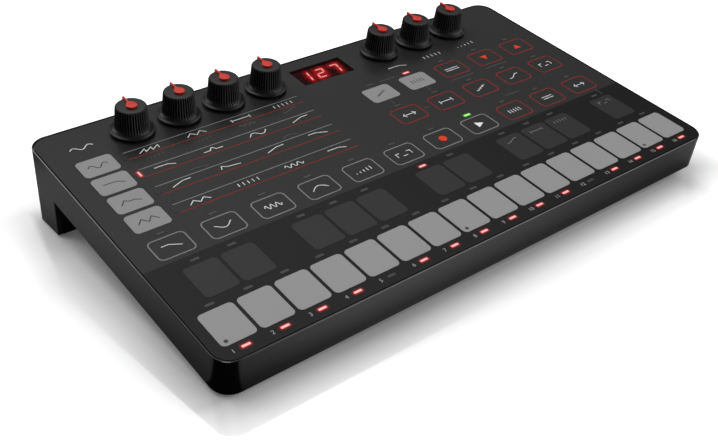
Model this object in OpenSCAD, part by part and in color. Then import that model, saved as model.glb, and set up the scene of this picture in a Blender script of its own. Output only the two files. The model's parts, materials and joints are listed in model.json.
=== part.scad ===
// Compact desktop analog synthesizer: a sloping touch panel, seven knobs and a battery foot at the rear.
// Lengths are in millimetres. X runs to the player's right, Y to the rear and Z up.
// The origin is on the table, under the middle of the object.
// Places on the panel are u to the right, v up the slope and n out of the panel, from the panel's centre.

/* [Case] */
// Width of the case, left to right
case_w = 256; // [250:1:266]
// Depth of the case, measured up the slope
case_d = 147; // [145:1:155]
// Height of the upright walls, square to the panel
case_h = 15.8; // [15.4:0.1:18]
// Radius of the case's upright corners
corner_r = 7.8; // [7:0.1:12]
// Thickness of the case's walls
wall = 2.2; // [1.8:0.1:2.6]
// Slope of the panel, in degrees
tilt = 7.94; // [7:0.02:9]
// Chamfer round the top edge of the case
edge_chamfer = 0.25; // [0.2:0.05:0.7]
// Width of the rim that surrounds the overlay
rim_w = 1; // [0.8:0.1:1.5]
// Height of the rim above the overlay
rim_lip = 0.15; // [0.05:0.05:0.3]
// Thickness of the case's plate under the overlay
plate_t = 1.6; // [1.2:0.1:2]
// Thickness of the overlay sheet
overlay_t = 0.7; // [0.5:0.05:1]
// Thickness of the bottom cover
cover_t = 2; // [1.6:0.1:2.4]
// Gap round pieces that are let into each other
fit_gap = 0.15; // [0.1:0.05:0.25]

/* [Rear foot] */
// Depth of the rear foot, measured up the slope
foot_d = 22.5; // [22:0.5:26]
// Height of the rubber feet below the case
pad_h = 0.6; // [0.4:0.1:1]
// Depth that a rubber foot is let into the cover
pad_sink = 0.4; // [0.3:0.1:0.6]
// Width of the rear rubber feet
rear_pad_w = 5; // [4:0.5:6]
// Length of the rear rubber feet, front to rear
rear_pad_l = 12; // [10:0.5:14]
// Width of the front rubber feet
front_pad_w = 18; // [12:1:24]
// Length of the front rubber feet, front to rear
front_pad_l = 6; // [5:0.5:7]
// Distance of the front feet's middle from the front edge
front_pad_in = 8; // [7:0.5:10]
// Distance of the front feet's middle from the sides
front_pad_side = 30; // [26:1:40]
// Thickness of the battery door
door_t = 1.6; // [1.4:0.1:2]
// Overlap of the battery door past the bay's end ribs
door_lap = 1; // [0.6:0.1:1.4]
// Thickness of the foot's floor above the door's level, at both ends
floor_t = 1.6; // [1.2:0.1:2]
// Running gap round the battery door
slide_gap = 0.25; // [0.2:0.05:0.4]
// Reach of the door's runners into their grooves
runner_w = 1.2; // [0.8:0.1:1.6]
// Height of the door's runners
runner_h = 0.8; // [0.6:0.1:0.9]
// Distance from the door's front edge to its runners
runner_in = 5.6; // [4:0.1:7]
// Number of finger grooves in the door
grip_count = 5; // [3:1:6]
// Distance between two finger grooves
grip_pitch = 2.4; // [2:0.1:2.8]
// Width of a finger groove
grip_w = 1; // [0.6:0.1:1.4]
// Depth of a finger groove
grip_depth = 0.5; // [0.3:0.1:0.8]
// Length of the finger grooves
grip_l = 24; // [16:1:40]
// Radius of a battery cell
cell_r = 7.1; // [6.9:0.05:7.25]
// Length of a battery cell with its nub
cell_l = 50.4; // [49.4:0.1:50.4]
// Gap between two battery cells
cell_gap = 0.1; // [0.05:0.05:0.3]
// Radius of a cell's nub
nub_r = 2.7; // [2.4:0.1:2.8]
// Height of a cell's nub
nub_h = 1; // [0.8:0.1:1.2]
// Thickness of the battery contacts
contact_t = 0.5; // [0.3:0.1:0.8]
// Width of the battery contacts
contact_w = 8; // [6:0.5:10]
// Thickness of the ribs in the battery bay
rib_t = 1.6; // [1.2:0.1:2]

/* [Keys] */
// Distance from the case's side to the first key's cell
key_margin = 4.56; // [3.5:0.02:6]
// Gap between two keys
key_gap = 1.43; // [1:0.01:2]
// Distance from the front edge to the light keys
key_front = 7.7; // [7:0.1:9]
// Length of a light key
light_l = 17; // [15:0.5:18]
// Length of a dark key
dark_l = 17.2; // [15:0.1:18]
// Gap between the light and the dark keys
row_gap = 5.3; // [4.6:0.1:6]
// Corner radius of a key
key_r = 1.9; // [1:0.1:2.5]
// Depth that a key or pad is let into the overlay
inlay_t = 0.3; // [0.2:0.05:0.4]

/* [Pads and lamps] */
// Distance from the left side to the first column of buttons
column_left = 17; // [15:0.1:19]
// Distance from the right side to the last column of buttons
column_right = 18.6; // [16:0.1:20]
// Distance from the dark keys to the first row of buttons
row_0_rise = 13.25; // [12.5:0.05:14]
// Distance from the first to the second row of buttons
row_1_rise = 22.25; // [21:0.05:23]
// Distance from the second to the third row of buttons
row_2_rise = 20; // [19:0.1:21]
// Width of a grey pad
pad_w = 15.2; // [13:0.1:16]
// Length of a grey pad
pad_l = 11.4; // [10:0.1:12]
// Distance from the first row of buttons to the first grey pad
pad_first = 17.55; // [16.5:0.05:18]
// Distance between the grey pads at the left
pad_pitch = 13.18; // [12.6:0.02:13.6]
// Width of a lamp window
lamp_w = 3.6; // [3:0.1:4.4]
// Length of a lamp window, front to rear
lamp_l = 1.2; // [0.9:0.1:1.4]
// Distance from a key to its lamp's middle
lamp_gap = 2.5; // [2:0.1:3]
// Distance from a button's middle to its lamp's middle
lamp_rise = 8.25; // [7.8:0.05:8.6]
// Distance from the front edge to the step lamps' middle
step_front = 4.8; // [4.2:0.1:5.2]
// Distance from the left side to the row lamps' middle
row_lamp_left = 28; // [27:0.1:30]

/* [Display] */
// Distance of the display's middle to the right of the panel's centre
display_u = 9.5; // [8:0.1:10]
// Width of the display window
display_w = 29; // [27:0.5:31]
// Length of the display window, front to rear
display_l = 14; // [13:0.1:15]
// Ledge that carries the display window
ledge = 1; // [0.8:0.1:1.4]
// Width of a digit
digit_w = 5; // [4.6:0.1:5.6]
// Height of a digit
digit_h = 7.3; // [6.8:0.1:9.5]
// Distance between two digits
digit_pitch = 8.4; // [8:0.1:9.4]
// Width of a digit's strokes
stroke = 0.85; // [0.8:0.05:1.2]
// Gap between two strokes of a digit
segment_gap = 0.15; // [0.1:0.05:0.25]
// Sideways lean of a digit for each unit of its height
lean = 0.14; // [0:0.02:0.16]
// Thickness of a digit's segments
segment_t = 0.2; // [0.1:0.05:0.2]
// Gap between the segments and the window
window_gap = 0.1; // [0.05:0.05:0.2]

/* [Knobs] */
// Distance from the rear edge to the knobs' axes
knob_rear = 14.7; // [14:0.1:15.5]
// Distance of the knobs to the right of the button columns
knob_shift = 0.9; // [0:0.1:1]
// Height of a knob's cap above the panel
knob_h = 12.4; // [11.6:0.1:14]
// Gap between a knob's skirt and the panel
knob_lift = 0.9; // [0.8:0.1:1.8]
// Radius of a knob's skirt
skirt_r = 9.4; // [8.5:0.05:10.4]
// Thickness of the skirt's rim
skirt_rim = 0.7; // [0.6:0.1:1.2]
// Height of the skirt's flare above its rim
skirt_flare = 3; // [1.2:0.1:3.4]
// Radius of a knob's body above the skirt
body_r = 7.15; // [7:0.05:7.8]
// Radius of a knob's cap
cap_r = 6.6; // [6.4:0.05:6.95]
// Rounding of the cap's edge
cap_edge = 0.9; // [0.4:0.05:1.2]
// Number of flutes round a knob
flute_count = 40; // [24:2:44]
// Radius of a flute
flute_r = 0.38; // [0.15:0.01:0.4]
// Radius of a pointer's round end
pointer_r = 2.3; // [1.4:0.1:2.6]
// Distance of a pointer's round end in front of the cap's middle
pointer_front = 0.6; // [0:0.1:1]
// Width of a pointer's tail
tail_w = 0.85; // [0.6:0.05:1.2]
// Reach of a pointer's tail past the cap's rim
tail_over = 0.2; // [0.1:0.05:0.4]
// Distance from a pointer's round end to where its tail begins, as a share of that end's radius
shoulder_share = 1.35; // [1.2:0.05:1.9]
// Height of a pointer above the cap
pointer_rise = 0.8; // [0.2:0.05:0.9]
// Depth that a pointer is let into the cap
pointer_sink = 0.9; // [0.6:0.1:1]
// Radius of a potentiometer's shaft
shaft_r = 3; // [2.5:0.1:3.2]
// Length of the shaft above the panel
shaft_up = 10; // [8:0.2:10.4]
// Running gap round a shaft
shaft_gap = 0.05; // [0.03:0.01:0.08]
// Wall of a potentiometer's bushing
bushing_wall = 0.6; // [0.4:0.1:0.8]
// Width of a potentiometer's body
pot_w = 9.8; // [9:0.1:10]
// Length of a potentiometer's body, front to rear
pot_l = 10.6; // [10:0.1:11]
// Height of a potentiometer's body
pot_h = 6.2; // [6:0.1:6.5]
// Thickness of a potentiometer's floor under its shaft
pot_floor = 1; // [0.6:0.1:1.4]

/* [Boards] */
// Thickness of the circuit boards
board_t = 1.6; // [1.2:0.1:1.6]
// Gap between the boards and the case's side bosses
board_gap = 2; // [1:0.1:3]
// Gap between the boards and the front and rear walls
board_edge = 0.5; // [0.3:0.1:1]
// Gap between the touch board and the potentiometers
pot_gap = 3; // [2:0.1:3.5]
// Width of a chip under the touch board
chip_w = 10; // [7:0.5:12]
// Height of a chip under the touch board
chip_h = 1.4; // [0.8:0.1:1.6]
// Radius of a capacitor's can
can_r = 2.5; // [2:0.1:3]
// Height of a capacitor's can
can_h = 5.4; // [4:0.1:5.6]
// Gap between the main board and the bottom cover
under_gap = 1.8; // [1.5:0.1:2]
// Length of the main board, front to rear
main_l = 26.5; // [26:0.5:28]
// Length of the header that links the boards
link_w = 40; // [30:1:44]
// Depth of the header that links the boards, front to rear
link_d = 4; // [3:0.1:4.5]

/* [Sockets] */
// Bore radius of the audio sockets
audio_bore_r = 1.8; // [1.75:0.05:1.9]
// Bore radius of the control sockets
control_bore_r = 1.3; // [1.25:0.05:1.4]
// Depth of a socket's bore
bore_l = 9.5; // [9:0.1:10]
// Radius of a socket's nose
nose_r = 2.8; // [2.6:0.05:3]
// Gap between a socket's nose and the main board
socket_lift = 0.1; // [0.05:0.05:0.2]
// Length of a socket's body
jack_l = 10; // [9:0.1:11]
// Width of a socket's body
jack_w = 6.4; // [6:0.1:7]
// Width of the data socket's shell
usb_w = 7.6; // [7.4:0.1:8]
// Height of the data socket's shell
usb_h = 2.9; // [2.7:0.1:3.1]
// Depth of the data socket's shell
usb_l = 6; // [5.5:0.1:7]
// Wall of the data socket's shell
usb_wall = 0.4; // [0.3:0.05:0.5]
// Depth of the data socket's mouth under the rear wall's face
usb_recess = 0.3; // [0.1:0.1:0.6]
// Width of the data socket's tongue
tongue_w = 3.8; // [3:0.1:4.2]
// Thickness of the data socket's tongue
tongue_t = 0.6; // [0.4:0.1:0.7]
// Depth of the tongue's end behind the data socket's mouth
tongue_recess = 1; // [0.5:0.1:1.5]
// Width of the power switch's body
switch_w = 9; // [8:0.1:10]
// Height of the power switch's body
switch_h = 4.4; // [4:0.1:5]
// Depth of the power switch's body
switch_l = 5; // [4.5:0.1:6]
// Width of the switch's lever
lever_w = 2.4; // [2:0.1:2.6]
// Height of the switch's lever
lever_h = 1.8; // [1.4:0.1:2]
// Reach of the lever past the rear wall
lever_out = 1.2; // [0.8:0.1:1.6]
// Travel of the switch's lever
lever_travel = 2.2; // [1.8:0.1:2.4]

/* [Fasteners] */
// Radius of a case screw's shank
screw_r = 1.2; // [1:0.05:1.3]
// Radius of a case screw's head
screw_head_r = 2.3; // [2:0.1:2.4]
// Height of a case screw's head
screw_head_h = 1.5; // [1.2:0.1:1.6]
// Radius of the bosses that take the case screws
boss_r = 3; // [2.6:0.1:3.2]
// Distance of the bosses' axes from the walls' outer faces
boss_in = 9; // [8.5:0.1:10]
// Radius of a board screw's shank
small_screw_r = 0.9; // [0.8:0.05:1]
// Radius of a board screw's head
small_head_r = 1.8; // [1.6:0.1:2]
// Height of a board screw's head
small_head_h = 1.1; // [0.9:0.1:1.2]
// Clearance of a screw in its hole
screw_gap = 0.05; // [0.03:0.01:0.1]
// Depth of a case screw's head under the bottom cover's face
head_sink = 0.2; // [0.1:0.1:0.5]
// Thickness of the cover under a case screw's head
seat_t = 1.6; // [1.2:0.1:2]
// Wall of the cover round a case screw's head
seat_wall = 1.2; // [0.8:0.1:1.6]
// Radius of the pillars that carry the main board
pillar_r = 2.5; // [2:0.1:3]
// Distance of the pillars' axes from the main board's edges
pillar_in = 4; // [3.5:0.1:5]
// Radius of the stakes that carry the touch board
stake_r = 1.2; // [1:0.1:1.5]
// Radius of a stake's melted head
stake_head_r = 2.2; // [1.8:0.1:2.6]
// Height of a stake's melted head
stake_head_h = 0.8; // [0.6:0.1:1]
// Distance of the stakes from the touch board's sides
stake_in = 24; // [20:1:30]
// Width of the cross in a screw's head, as a share of the head's radius
slot_w_share = 0.3; // [0.2:0.05:0.4]
// Length of the cross in a screw's head, as a share of the head's radius
slot_l_share = 1.2; // [0.8:0.1:1.5]

/* [Hidden] */
$fn = 64;
case_black = [0.10, 0.10, 0.10];
overlay_grey = [0.22, 0.22, 0.22];
light_key_grey = [0.60, 0.60, 0.60];
dark_key_grey = [0.25, 0.25, 0.25];
lamp_red = [0.85, 0.20, 0.16];
lamp_off = [0.30, 0.28, 0.28];
display_red = [0.25, 0.03, 0.03];
segment_red = [0.95, 0.15, 0.10];
knob_black = [0.09, 0.09, 0.09];
pointer_red = [0.88, 0.20, 0.14];
board_green = [0.06, 0.25, 0.14];
chip_black = [0.08, 0.08, 0.09];
metal_grey = [0.70, 0.70, 0.72];
cell_grey = [0.45, 0.47, 0.50];
rubber_black = [0.13, 0.13, 0.13];

// Solids that only cut or trim others reach this far past them
over = 1;
half_w = case_w / 2;
half_d = case_d / 2;
column_count = 11;
key_count = 16;
cell_count = 4;
knob_count = 7;
digit_count = 3;

// Height of the panel's centre above the table, and its place front to rear
panel_z = pad_h + half_d * sin(tilt) + case_h * cos(tilt);
function level_n(v, z) = (z - panel_z - v * sin(tilt)) / cos(tilt);
foot_drop = -level_n(half_d, pad_h);
panel_y = -foot_drop * sin(tilt) / 2;
function table_y(v, n) = panel_y + v * cos(tilt) - n * sin(tilt);
// Depth that takes in the whole case under the panel
deep = foot_drop + over;

// Levels under the panel
overlay_top = -rim_lip;
plate_top = overlay_top - overlay_t;
plate_under = plate_top - plate_t;
touch_under = plate_under - board_t;
cover_top = -case_h + cover_t;
main_under = cover_top + under_gap;
main_top = main_under + board_t;

// Plan of the space inside the walls
inner_w = case_w - 2 * wall;
inner_d = case_d - 2 * wall;
inner_r = corner_r - wall;

// Keys: whether a dark key follows each of an octave's light keys
has_sharp = [true, true, false, true, true, true, false];
key_pitch = (case_w - 2 * key_margin) / key_count;
key_w = key_pitch - key_gap;
light_v = -half_d + key_front + light_l / 2;
dark_v = light_v + light_l / 2 + row_gap + dark_l / 2;
light_at = [for (i = [0 : key_count - 1]) [(i - (key_count - 1) / 2) * key_pitch, light_v]];
dark_at = [for (i = [0 : key_count - 2]) if (has_sharp[i % len(has_sharp)])
    [(i - key_count / 2 + 1) * key_pitch, dark_v]];

// Buttons stand in columns and three rows
column_pitch = (case_w - column_left - column_right) / (column_count - 1);
function column_u(k) = -half_w + column_left + k * column_pitch;
row_0 = dark_v + dark_l / 2 + row_0_rise;
row_1 = row_0 + row_1_rise;
row_2 = row_1 + row_2_rise;
pad_rows = 4;
pad_v = [for (i = [0 : pad_rows - 1]) row_0 + pad_first + i * pad_pitch];
right_columns = [6 : 10];
pad_at = concat([for (v = pad_v) [column_u(0), v]], [for (k = [6, 7]) [column_u(k), row_2]]);

// Lamps
step_lamp_at = [for (p = light_at) [p[0], -half_d + step_front]];
key_lamp_at = concat([for (p = light_at) [p[0], light_v + light_l / 2 + lamp_gap]],
                     [for (p = dark_at) [p[0], dark_v + dark_l / 2 + lamp_gap]]);
button_lamp_at = concat([for (k = [0 : column_count - 1]) [column_u(k), row_0 + lamp_rise]],
                        [for (k = right_columns) [column_u(k), row_1 + lamp_rise]],
                        [for (k = right_columns) [column_u(k), row_2 + lamp_rise]]);
row_lamp_at = [for (v = pad_v) [-half_w + row_lamp_left, v]];

// Knobs
knob_columns = [1, 2, 3, 4, 7, 8, 9];
knob_v = half_d - knob_rear;
function knob_u(i) = column_u(knob_columns[i]) + knob_shift;
bushing_r = shaft_r + shaft_gap + bushing_wall;
flare_n = knob_lift + skirt_rim + skirt_flare;
body_top = knob_h - cap_edge;
flute_lean = atan((body_r - cap_r) / (body_top - flare_n));

// Boards
board_w = case_w - 2 * (boss_in + boss_r + board_gap);
touch_front = -half_d + wall + board_edge;
touch_rear = knob_v - pot_l / 2 - pot_gap;
main_rear = half_d - wall - board_edge;
main_front = main_rear - main_l;
link_v = (touch_rear + main_front) / 2;

// Fastener places
boss_u = half_w - boss_in;
boss_front = -half_d + boss_in;
boss_rear = touch_rear - boss_in;
boss_at = [[-boss_u, boss_front], [0, boss_front], [boss_u, boss_front],
           [-boss_u, boss_rear], [0, row_1], [boss_u, boss_rear]];
pillar_front = touch_rear + pillar_r + board_edge;
pillar_at = [for (s = [-1, 1], v = [pillar_front, main_rear - pillar_in]) [s * (board_w / 2 - pillar_in), v]];
stake_u = board_w / 2 - stake_in;
stake_at = [for (u = [-stake_u, stake_u], v = [light_v, row_2 - pad_l / 2]) [u, v]];
screw_seat_n = -case_h + head_sink + screw_head_h;
boss_end = screw_seat_n + seat_t;

// Rear sockets, all on one line above the main board
socket_n = main_top + nose_r + socket_lift;
end_step = 0.7 * column_pitch;
audio_at = [knob_u(0) - end_step, knob_u(0) + column_pitch / 2];
control_at = [knob_u(1) + column_pitch / 2, knob_u(2) + column_pitch / 2];
usb_u = knob_u(4) + column_pitch / 2;
switch_u = knob_u(knob_count - 1) + end_step;
switch_n = main_top + switch_h / 2;
usb_n = main_top + usb_h / 2;
rear_inside = half_d - wall;
switch_rear = rear_inside - fit_gap;
switch_middle = switch_u - lever_travel / 2;

// Foot and battery bay
foot_v = half_d - foot_d;
cell_pitch = cell_l + cell_gap;
bay_half = cell_count * cell_pitch / 2 + contact_t;
door_w = 2 * (bay_half + rib_t + door_lap);
door_top = pad_h + door_t;
door_front = table_y(foot_v, level_n(foot_v, pad_h));
door_rear = table_y(rear_inside, level_n(rear_inside, door_top)) - slide_gap;
cell_z = door_top + slide_gap + cell_r;
bay_front = table_y(foot_v + cover_t, level_n(foot_v + cover_t, cell_z));
bay_rear = table_y(rear_inside, level_n(rear_inside, cell_z));
cell_y = (bay_front + bay_rear) / 2;
runner_z = pad_h + (door_t - runner_h) / 2;
end_block_h = door_t + floor_t;
door_end = door_w / 2 + runner_w + slide_gap;
rear_pad_u = (door_end + inner_w / 2) / 2;

// Puts what follows on the sloping panel
module on_panel() {
    translate([0, panel_y, panel_z]) rotate([tilt, 0, 0]) children();
}

// Plan of a rectangle with round corners
module rounded(w, d, r) {
    square([w, d - 2 * r], center = true);
    square([w - 2 * r, d], center = true);
    for (x = [-1, 1], y = [-1, 1]) translate([x * (w / 2 - r), y * (d / 2 - r)]) circle(r);
}

// Block between two levels under the panel
module slab(w, d, r, low, high) {
    translate([0, 0, low]) linear_extrude(high - low) rounded(w, d, r);
}

// Section through a block under the panel, with its top edges sloped inwards by c
function block_section(half, c, depth) =
    [[-half, -depth], [half, -depth], [half, -c], [half - c, 0], [-half + c, 0], [-half, -c]];

// Rounded block whose top is the panel, with its top edge sloped inwards by c
module chamfered_block(w, d, r, c, depth) {
    rotate([90, 0, 90]) linear_extrude(w - 2 * r, center = true) polygon(block_section(d / 2, c, depth));
    rotate([90, 0, 0]) linear_extrude(d - 2 * r, center = true) polygon(block_section(w / 2, c, depth));
    for (x = [-1, 1], y = [-1, 1]) translate([x * (w / 2 - r), y * (d / 2 - r), 0])
        rotate_extrude() polygon([[0, -depth], [r, -depth], [r, -c], [r - c, 0], [0, 0]]);
}

// Outline of the case seen from its side: the slab, and the foot down to the table
module side_profile() {
    polygon([[-half_d - over, over], [half_d + over, over],
             [half_d + over, level_n(half_d + over, pad_h)], [foot_v, level_n(foot_v, pad_h)],
             [foot_v, -case_h], [-half_d - over, -case_h]]);
}

module case_outside() {
    intersection() {
        chamfered_block(case_w, case_d, corner_r, edge_chamfer, deep);
        rotate([90, 0, 90]) linear_extrude(case_w + 2 * over, center = true) side_profile();
    }
}

// Plans of the lamp windows, each grown by a gap
module lamp_plans(places, w, l, gap) {
    for (p = places) translate(p) square([w + 2 * gap, l + 2 * gap], center = true);
}

module all_lamp_plans(gap) {
    lamp_plans(concat(step_lamp_at, key_lamp_at, button_lamp_at), lamp_w, lamp_l, gap);
    lamp_plans(row_lamp_at, lamp_l, lamp_w, gap);
}

module key_plans(places, w, l, r, gap) {
    for (p = places) translate(p) rounded(w + 2 * gap, l + 2 * gap, r + gap);
}

module inlay_plans(gap) {
    key_plans(light_at, key_w, light_l, key_r, gap);
    key_plans(dark_at, key_w, dark_l, key_r, gap);
    key_plans(pad_at, pad_w, pad_l, key_r, gap);
}

module bushing_plans(gap) {
    for (i = [0 : knob_count - 1]) translate([knob_u(i), knob_v]) circle(bushing_r + gap);
}

module at_display() {
    translate([display_u, knob_v, 0]) children();
}

// Round hole or peg along v, from the rear wall's inside
module rearward(u, n, from, r, l) {
    translate([u, from, n]) rotate([-90, 0, 0]) cylinder(r = r, h = l);
}

// Block whose middle is at u and n, and which runs rearwards from a place on v
module rear_block(u, n, from, w, h, l) {
    translate([u - w / 2, from, n - h / 2]) cube([w, l, h]);
}

module boss(p, r, low, high) {
    translate([p[0], p[1], low]) cylinder(r = r, h = high - low);
}

module top_case() {
    color(case_black) on_panel() difference() {
        union() {
            difference() {
                case_outside();
                slab(inner_w, inner_d, inner_r, -deep - over, plate_under);
            }
            for (p = boss_at) boss(p, boss_r, boss_end, plate_under);
            for (p = pillar_at) boss(p, pillar_r, main_top, plate_under);
            for (p = stake_at) {
                boss(p, stake_r, touch_under, plate_under);
                boss(p, stake_head_r, touch_under - stake_head_h, touch_under);
            }
        }
        slab(case_w - 2 * rim_w, case_d - 2 * rim_w, corner_r - rim_w, plate_top, over);
        translate([0, 0, plate_under - over]) linear_extrude(plate_t + 2 * over) {
            all_lamp_plans(fit_gap);
            bushing_plans(fit_gap);
            at_display() square([display_w - 2 * ledge, display_l - 2 * ledge], center = true);
        }
        for (p = boss_at) boss(p, screw_r + screw_gap, boss_end - over, plate_under - over);
        for (p = pillar_at) boss(p, small_screw_r + screw_gap, main_top - over, plate_under - over);
        for (u = concat(audio_at, control_at)) rearward(u, socket_n, rear_inside - over, nose_r + fit_gap,
                                                        wall + 2 * over);
        rear_block(usb_u, usb_n, rear_inside - over, usb_w + 2 * fit_gap, usb_h + 2 * fit_gap,
                   wall + 2 * over);
        rear_block(switch_middle, switch_n, rear_inside - over,
                   lever_w + lever_travel + 4 * fit_gap, lever_h + 4 * fit_gap, wall + 2 * over);
    }
}

module panel_overlay() {
    color(overlay_grey) on_panel() difference() {
        slab(case_w - 2 * rim_w - 2 * fit_gap, case_d - 2 * rim_w - 2 * fit_gap,
             corner_r - rim_w - fit_gap, plate_top, overlay_top);
        translate([0, 0, plate_top - over]) linear_extrude(overlay_t + 2 * over) {
            all_lamp_plans(fit_gap);
            bushing_plans(2 * fit_gap);
            at_display() square([display_w + 2 * fit_gap, display_l + 2 * fit_gap], center = true);
        }
        translate([0, 0, overlay_top - inlay_t]) linear_extrude(inlay_t + over) inlay_plans(0);
    }
}

module inlays(places, w, l) {
    on_panel() translate([0, 0, overlay_top - inlay_t]) linear_extrude(inlay_t)
        key_plans(places, w, l, key_r, 0);
}

module light_keys() {
    color(light_key_grey) inlays(light_at, key_w, light_l);
}

module dark_keys() {
    color(dark_key_grey) inlays(dark_at, key_w, dark_l);
}

module grey_pads() {
    color(light_key_grey) inlays(pad_at, pad_w, pad_l);
}

// Light guides, from the touch board up to the overlay's face
module lamps(places, w, l) {
    on_panel() translate([0, 0, plate_under]) linear_extrude(overlay_top - plate_under)
        lamp_plans(places, w, l, 0);
}

module step_lamps() {
    color(lamp_red) lamps(step_lamp_at, lamp_w, lamp_l);
}

module key_lamps() {
    color(lamp_off) lamps(key_lamp_at, lamp_w, lamp_l);
}

module button_lamps() {
    color(lamp_off) lamps(button_lamp_at, lamp_w, lamp_l);
}

module row_lamps() {
    color(lamp_off) lamps(row_lamp_at, lamp_l, lamp_w);
}

module display_window() {
    color(display_red) on_panel() at_display() translate([0, 0, plate_top]) linear_extrude(overlay_t)
        square([display_w, display_l], center = true);
}

// The module stands on the main board and reaches up to its segments, just under the window
segment_under = plate_top - window_gap - segment_t;

module display_module() {
    color(chip_black) on_panel() at_display() translate([0, 0, main_top])
        linear_extrude(segment_under - main_top)
            square([display_w - 2 * ledge - 2 * fit_gap, display_l - 2 * ledge - 2 * fit_gap], center = true);
}

// A bar of a digit between two corners, leaning with the digit
module leaning_bar(a, b) {
    polygon([for (p = [a, [b[0], a[1]], b, [a[0], b[1]]]) [p[0] + lean * p[1], p[1]]]);
}

// The seven bars of one digit about its middle, with a small gap where two bars meet
module digit_plan() {
    x = digit_w / 2;
    y = digit_h / 2;
    s = stroke;
    inner_x = x - s - segment_gap;
    for (low = [-y, -s / 2, y - s]) leaning_bar([-inner_x, low], [inner_x, low + s]);
    for (left = [-x, x - s]) {
        leaning_bar([left, segment_gap], [left + s, y]);
        leaning_bar([left, -y], [left + s, -segment_gap]);
    }
}

module display_segments() {
    color(segment_red) on_panel() at_display() translate([0, 0, segment_under]) linear_extrude(segment_t)
        for (i = [0 : digit_count - 1]) translate([(i - (digit_count - 1) / 2) * digit_pitch, 0])
            digit_plan();
}

module touch_board() {
    color(board_green) on_panel() translate([0, 0, touch_under]) linear_extrude(board_t) difference() {
        translate([-board_w / 2, touch_front]) square([board_w, touch_rear - touch_front]);
        for (p = boss_at) translate(p) circle(boss_r + 2 * fit_gap);
        for (p = stake_at) translate(p) circle(stake_r + fit_gap);
    }
}

module main_board() {
    color(board_green) on_panel() translate([0, 0, main_under]) linear_extrude(board_t) difference() {
        translate([-board_w / 2, main_front]) square([board_w, main_rear - main_front]);
        for (p = pillar_at) translate(p) circle(small_screw_r + fit_gap);
    }
}

module board_link() {
    color(chip_black) on_panel() translate([-link_w / 2, link_v - link_d / 2, main_top])
        cube([link_w, link_d, touch_under - main_top]);
}

// Chips under the touch board, between the button columns
module board_chips() {
    chip_columns = [2, 4, 7, 9];
    color(chip_black) on_panel() for (k = chip_columns)
        translate([column_u(k) - chip_w / 2, row_0 - chip_w / 2, touch_under - chip_h])
            cube([chip_w, chip_w, chip_h]);
}

// Capacitors on the main board, on both sides of the display
module capacitors() {
    color(metal_grey) on_panel() for (u = [knob_u(3) + column_pitch / 2, knob_u(4) - column_pitch / 2])
        translate([u, knob_v, main_top]) cylinder(r = can_r, h = can_h);
}

// A round socket: a body on the main board and a nose through the rear wall, with the plug's bore
module round_socket(u, bore_r) {
    color(chip_black) on_panel() difference() {
        union() {
            rear_block(u, main_top + nose_r, rear_inside - jack_l, jack_w, 2 * nose_r, jack_l - fit_gap);
            rearward(u, socket_n, rear_inside - jack_l / 2, nose_r, jack_l / 2 + wall);
        }
        rearward(u, socket_n, half_d - bore_l, bore_r, bore_l + over);
    }
}

module audio_out_socket() {
    round_socket(audio_at[0], audio_bore_r);
}

module audio_in_socket() {
    round_socket(audio_at[1], audio_bore_r);
}

module control_out_socket() {
    round_socket(control_at[0], control_bore_r);
}

module control_in_socket() {
    round_socket(control_at[1], control_bore_r);
}

// Metal shell with a tongue that carries the contacts
module data_socket() {
    front = half_d - usb_recess - usb_l;
    color(metal_grey) on_panel() {
        difference() {
            rear_block(usb_u, usb_n, front, usb_w, usb_h, usb_l);
            rear_block(usb_u, usb_n, front + usb_wall, usb_w - 2 * usb_wall, usb_h - 2 * usb_wall, usb_l);
        }
        rear_block(usb_u, usb_n, front, tongue_w, tongue_t, usb_l - tongue_recess);
    }
}

module switch_body() {
    color(metal_grey) on_panel() difference() {
        rear_block(switch_middle, switch_n, switch_rear - switch_l, switch_w, switch_h, switch_l);
        rear_block(switch_middle, switch_n, switch_rear - switch_l / 2,
                   lever_w + lever_travel + 2 * fit_gap, lever_h + 2 * shaft_gap, switch_l);
    }
}

module switch_lever() {
    start = switch_rear - switch_l / 2 + shaft_gap;
    color(rubber_black) on_panel()
        rear_block(switch_u, switch_n, start, lever_w, lever_h, half_d + lever_out - start);
}

// Block that fits inside the walls, from the cover's inner face down to a level
module cover_slab(low) {
    slab(inner_w - 2 * fit_gap, inner_d - 2 * fit_gap, inner_r - fit_gap, low, cover_top);
}

// Space of the foot inside the walls, from the bay's ceiling down past the table
module foot_space() {
    intersection() {
        on_panel() cover_slab(-deep - over);
        on_panel() translate([-half_w, foot_v, -deep - over]) cube([case_w, foot_d, deep + over]);
        translate([-half_w, -half_d, pad_h]) cube([case_w, 2 * case_d, case_d]);
    }
}

// Block between two heights above the table, from one X to another over the whole foot
module foot_block(x0, x1, low, high) {
    translate([x0, door_front - foot_d, low]) cube([x1 - x0, 3 * foot_d, high - low]);
}

// Pad under the front edge: it fills the wedge between the sloping cover and the table
module front_pad_block(u) {
    on_panel() translate([u, -half_d + front_pad_in, -deep]) linear_extrude(deep - case_h + pad_sink)
        square([front_pad_w, front_pad_l], center = true);
}

// Pad under the rear foot, midway between the battery door's end and the wall
module rear_pad_block(s) {
    translate([s * rear_pad_u, cell_y, -over]) linear_extrude(over + pad_h + pad_sink)
        square([rear_pad_w, rear_pad_l], center = true);
}

module rubber_feet() {
    color(rubber_black) intersection() {
        union() for (s = [-1, 1]) {
            front_pad_block(s * (half_w - front_pad_side));
            rear_pad_block(s);
        }
        translate([-case_w, -case_d, 0]) cube([2 * case_w, 2 * case_d, deep]);
    }
}

// Slot and grooves that the battery door runs in
module door_space() {
    foot_block(-door_w / 2 - slide_gap, door_w / 2 + slide_gap, -over, door_top + slide_gap);
    foot_block(-door_end, door_end, runner_z - slide_gap, runner_z + runner_h + slide_gap);
}

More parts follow.
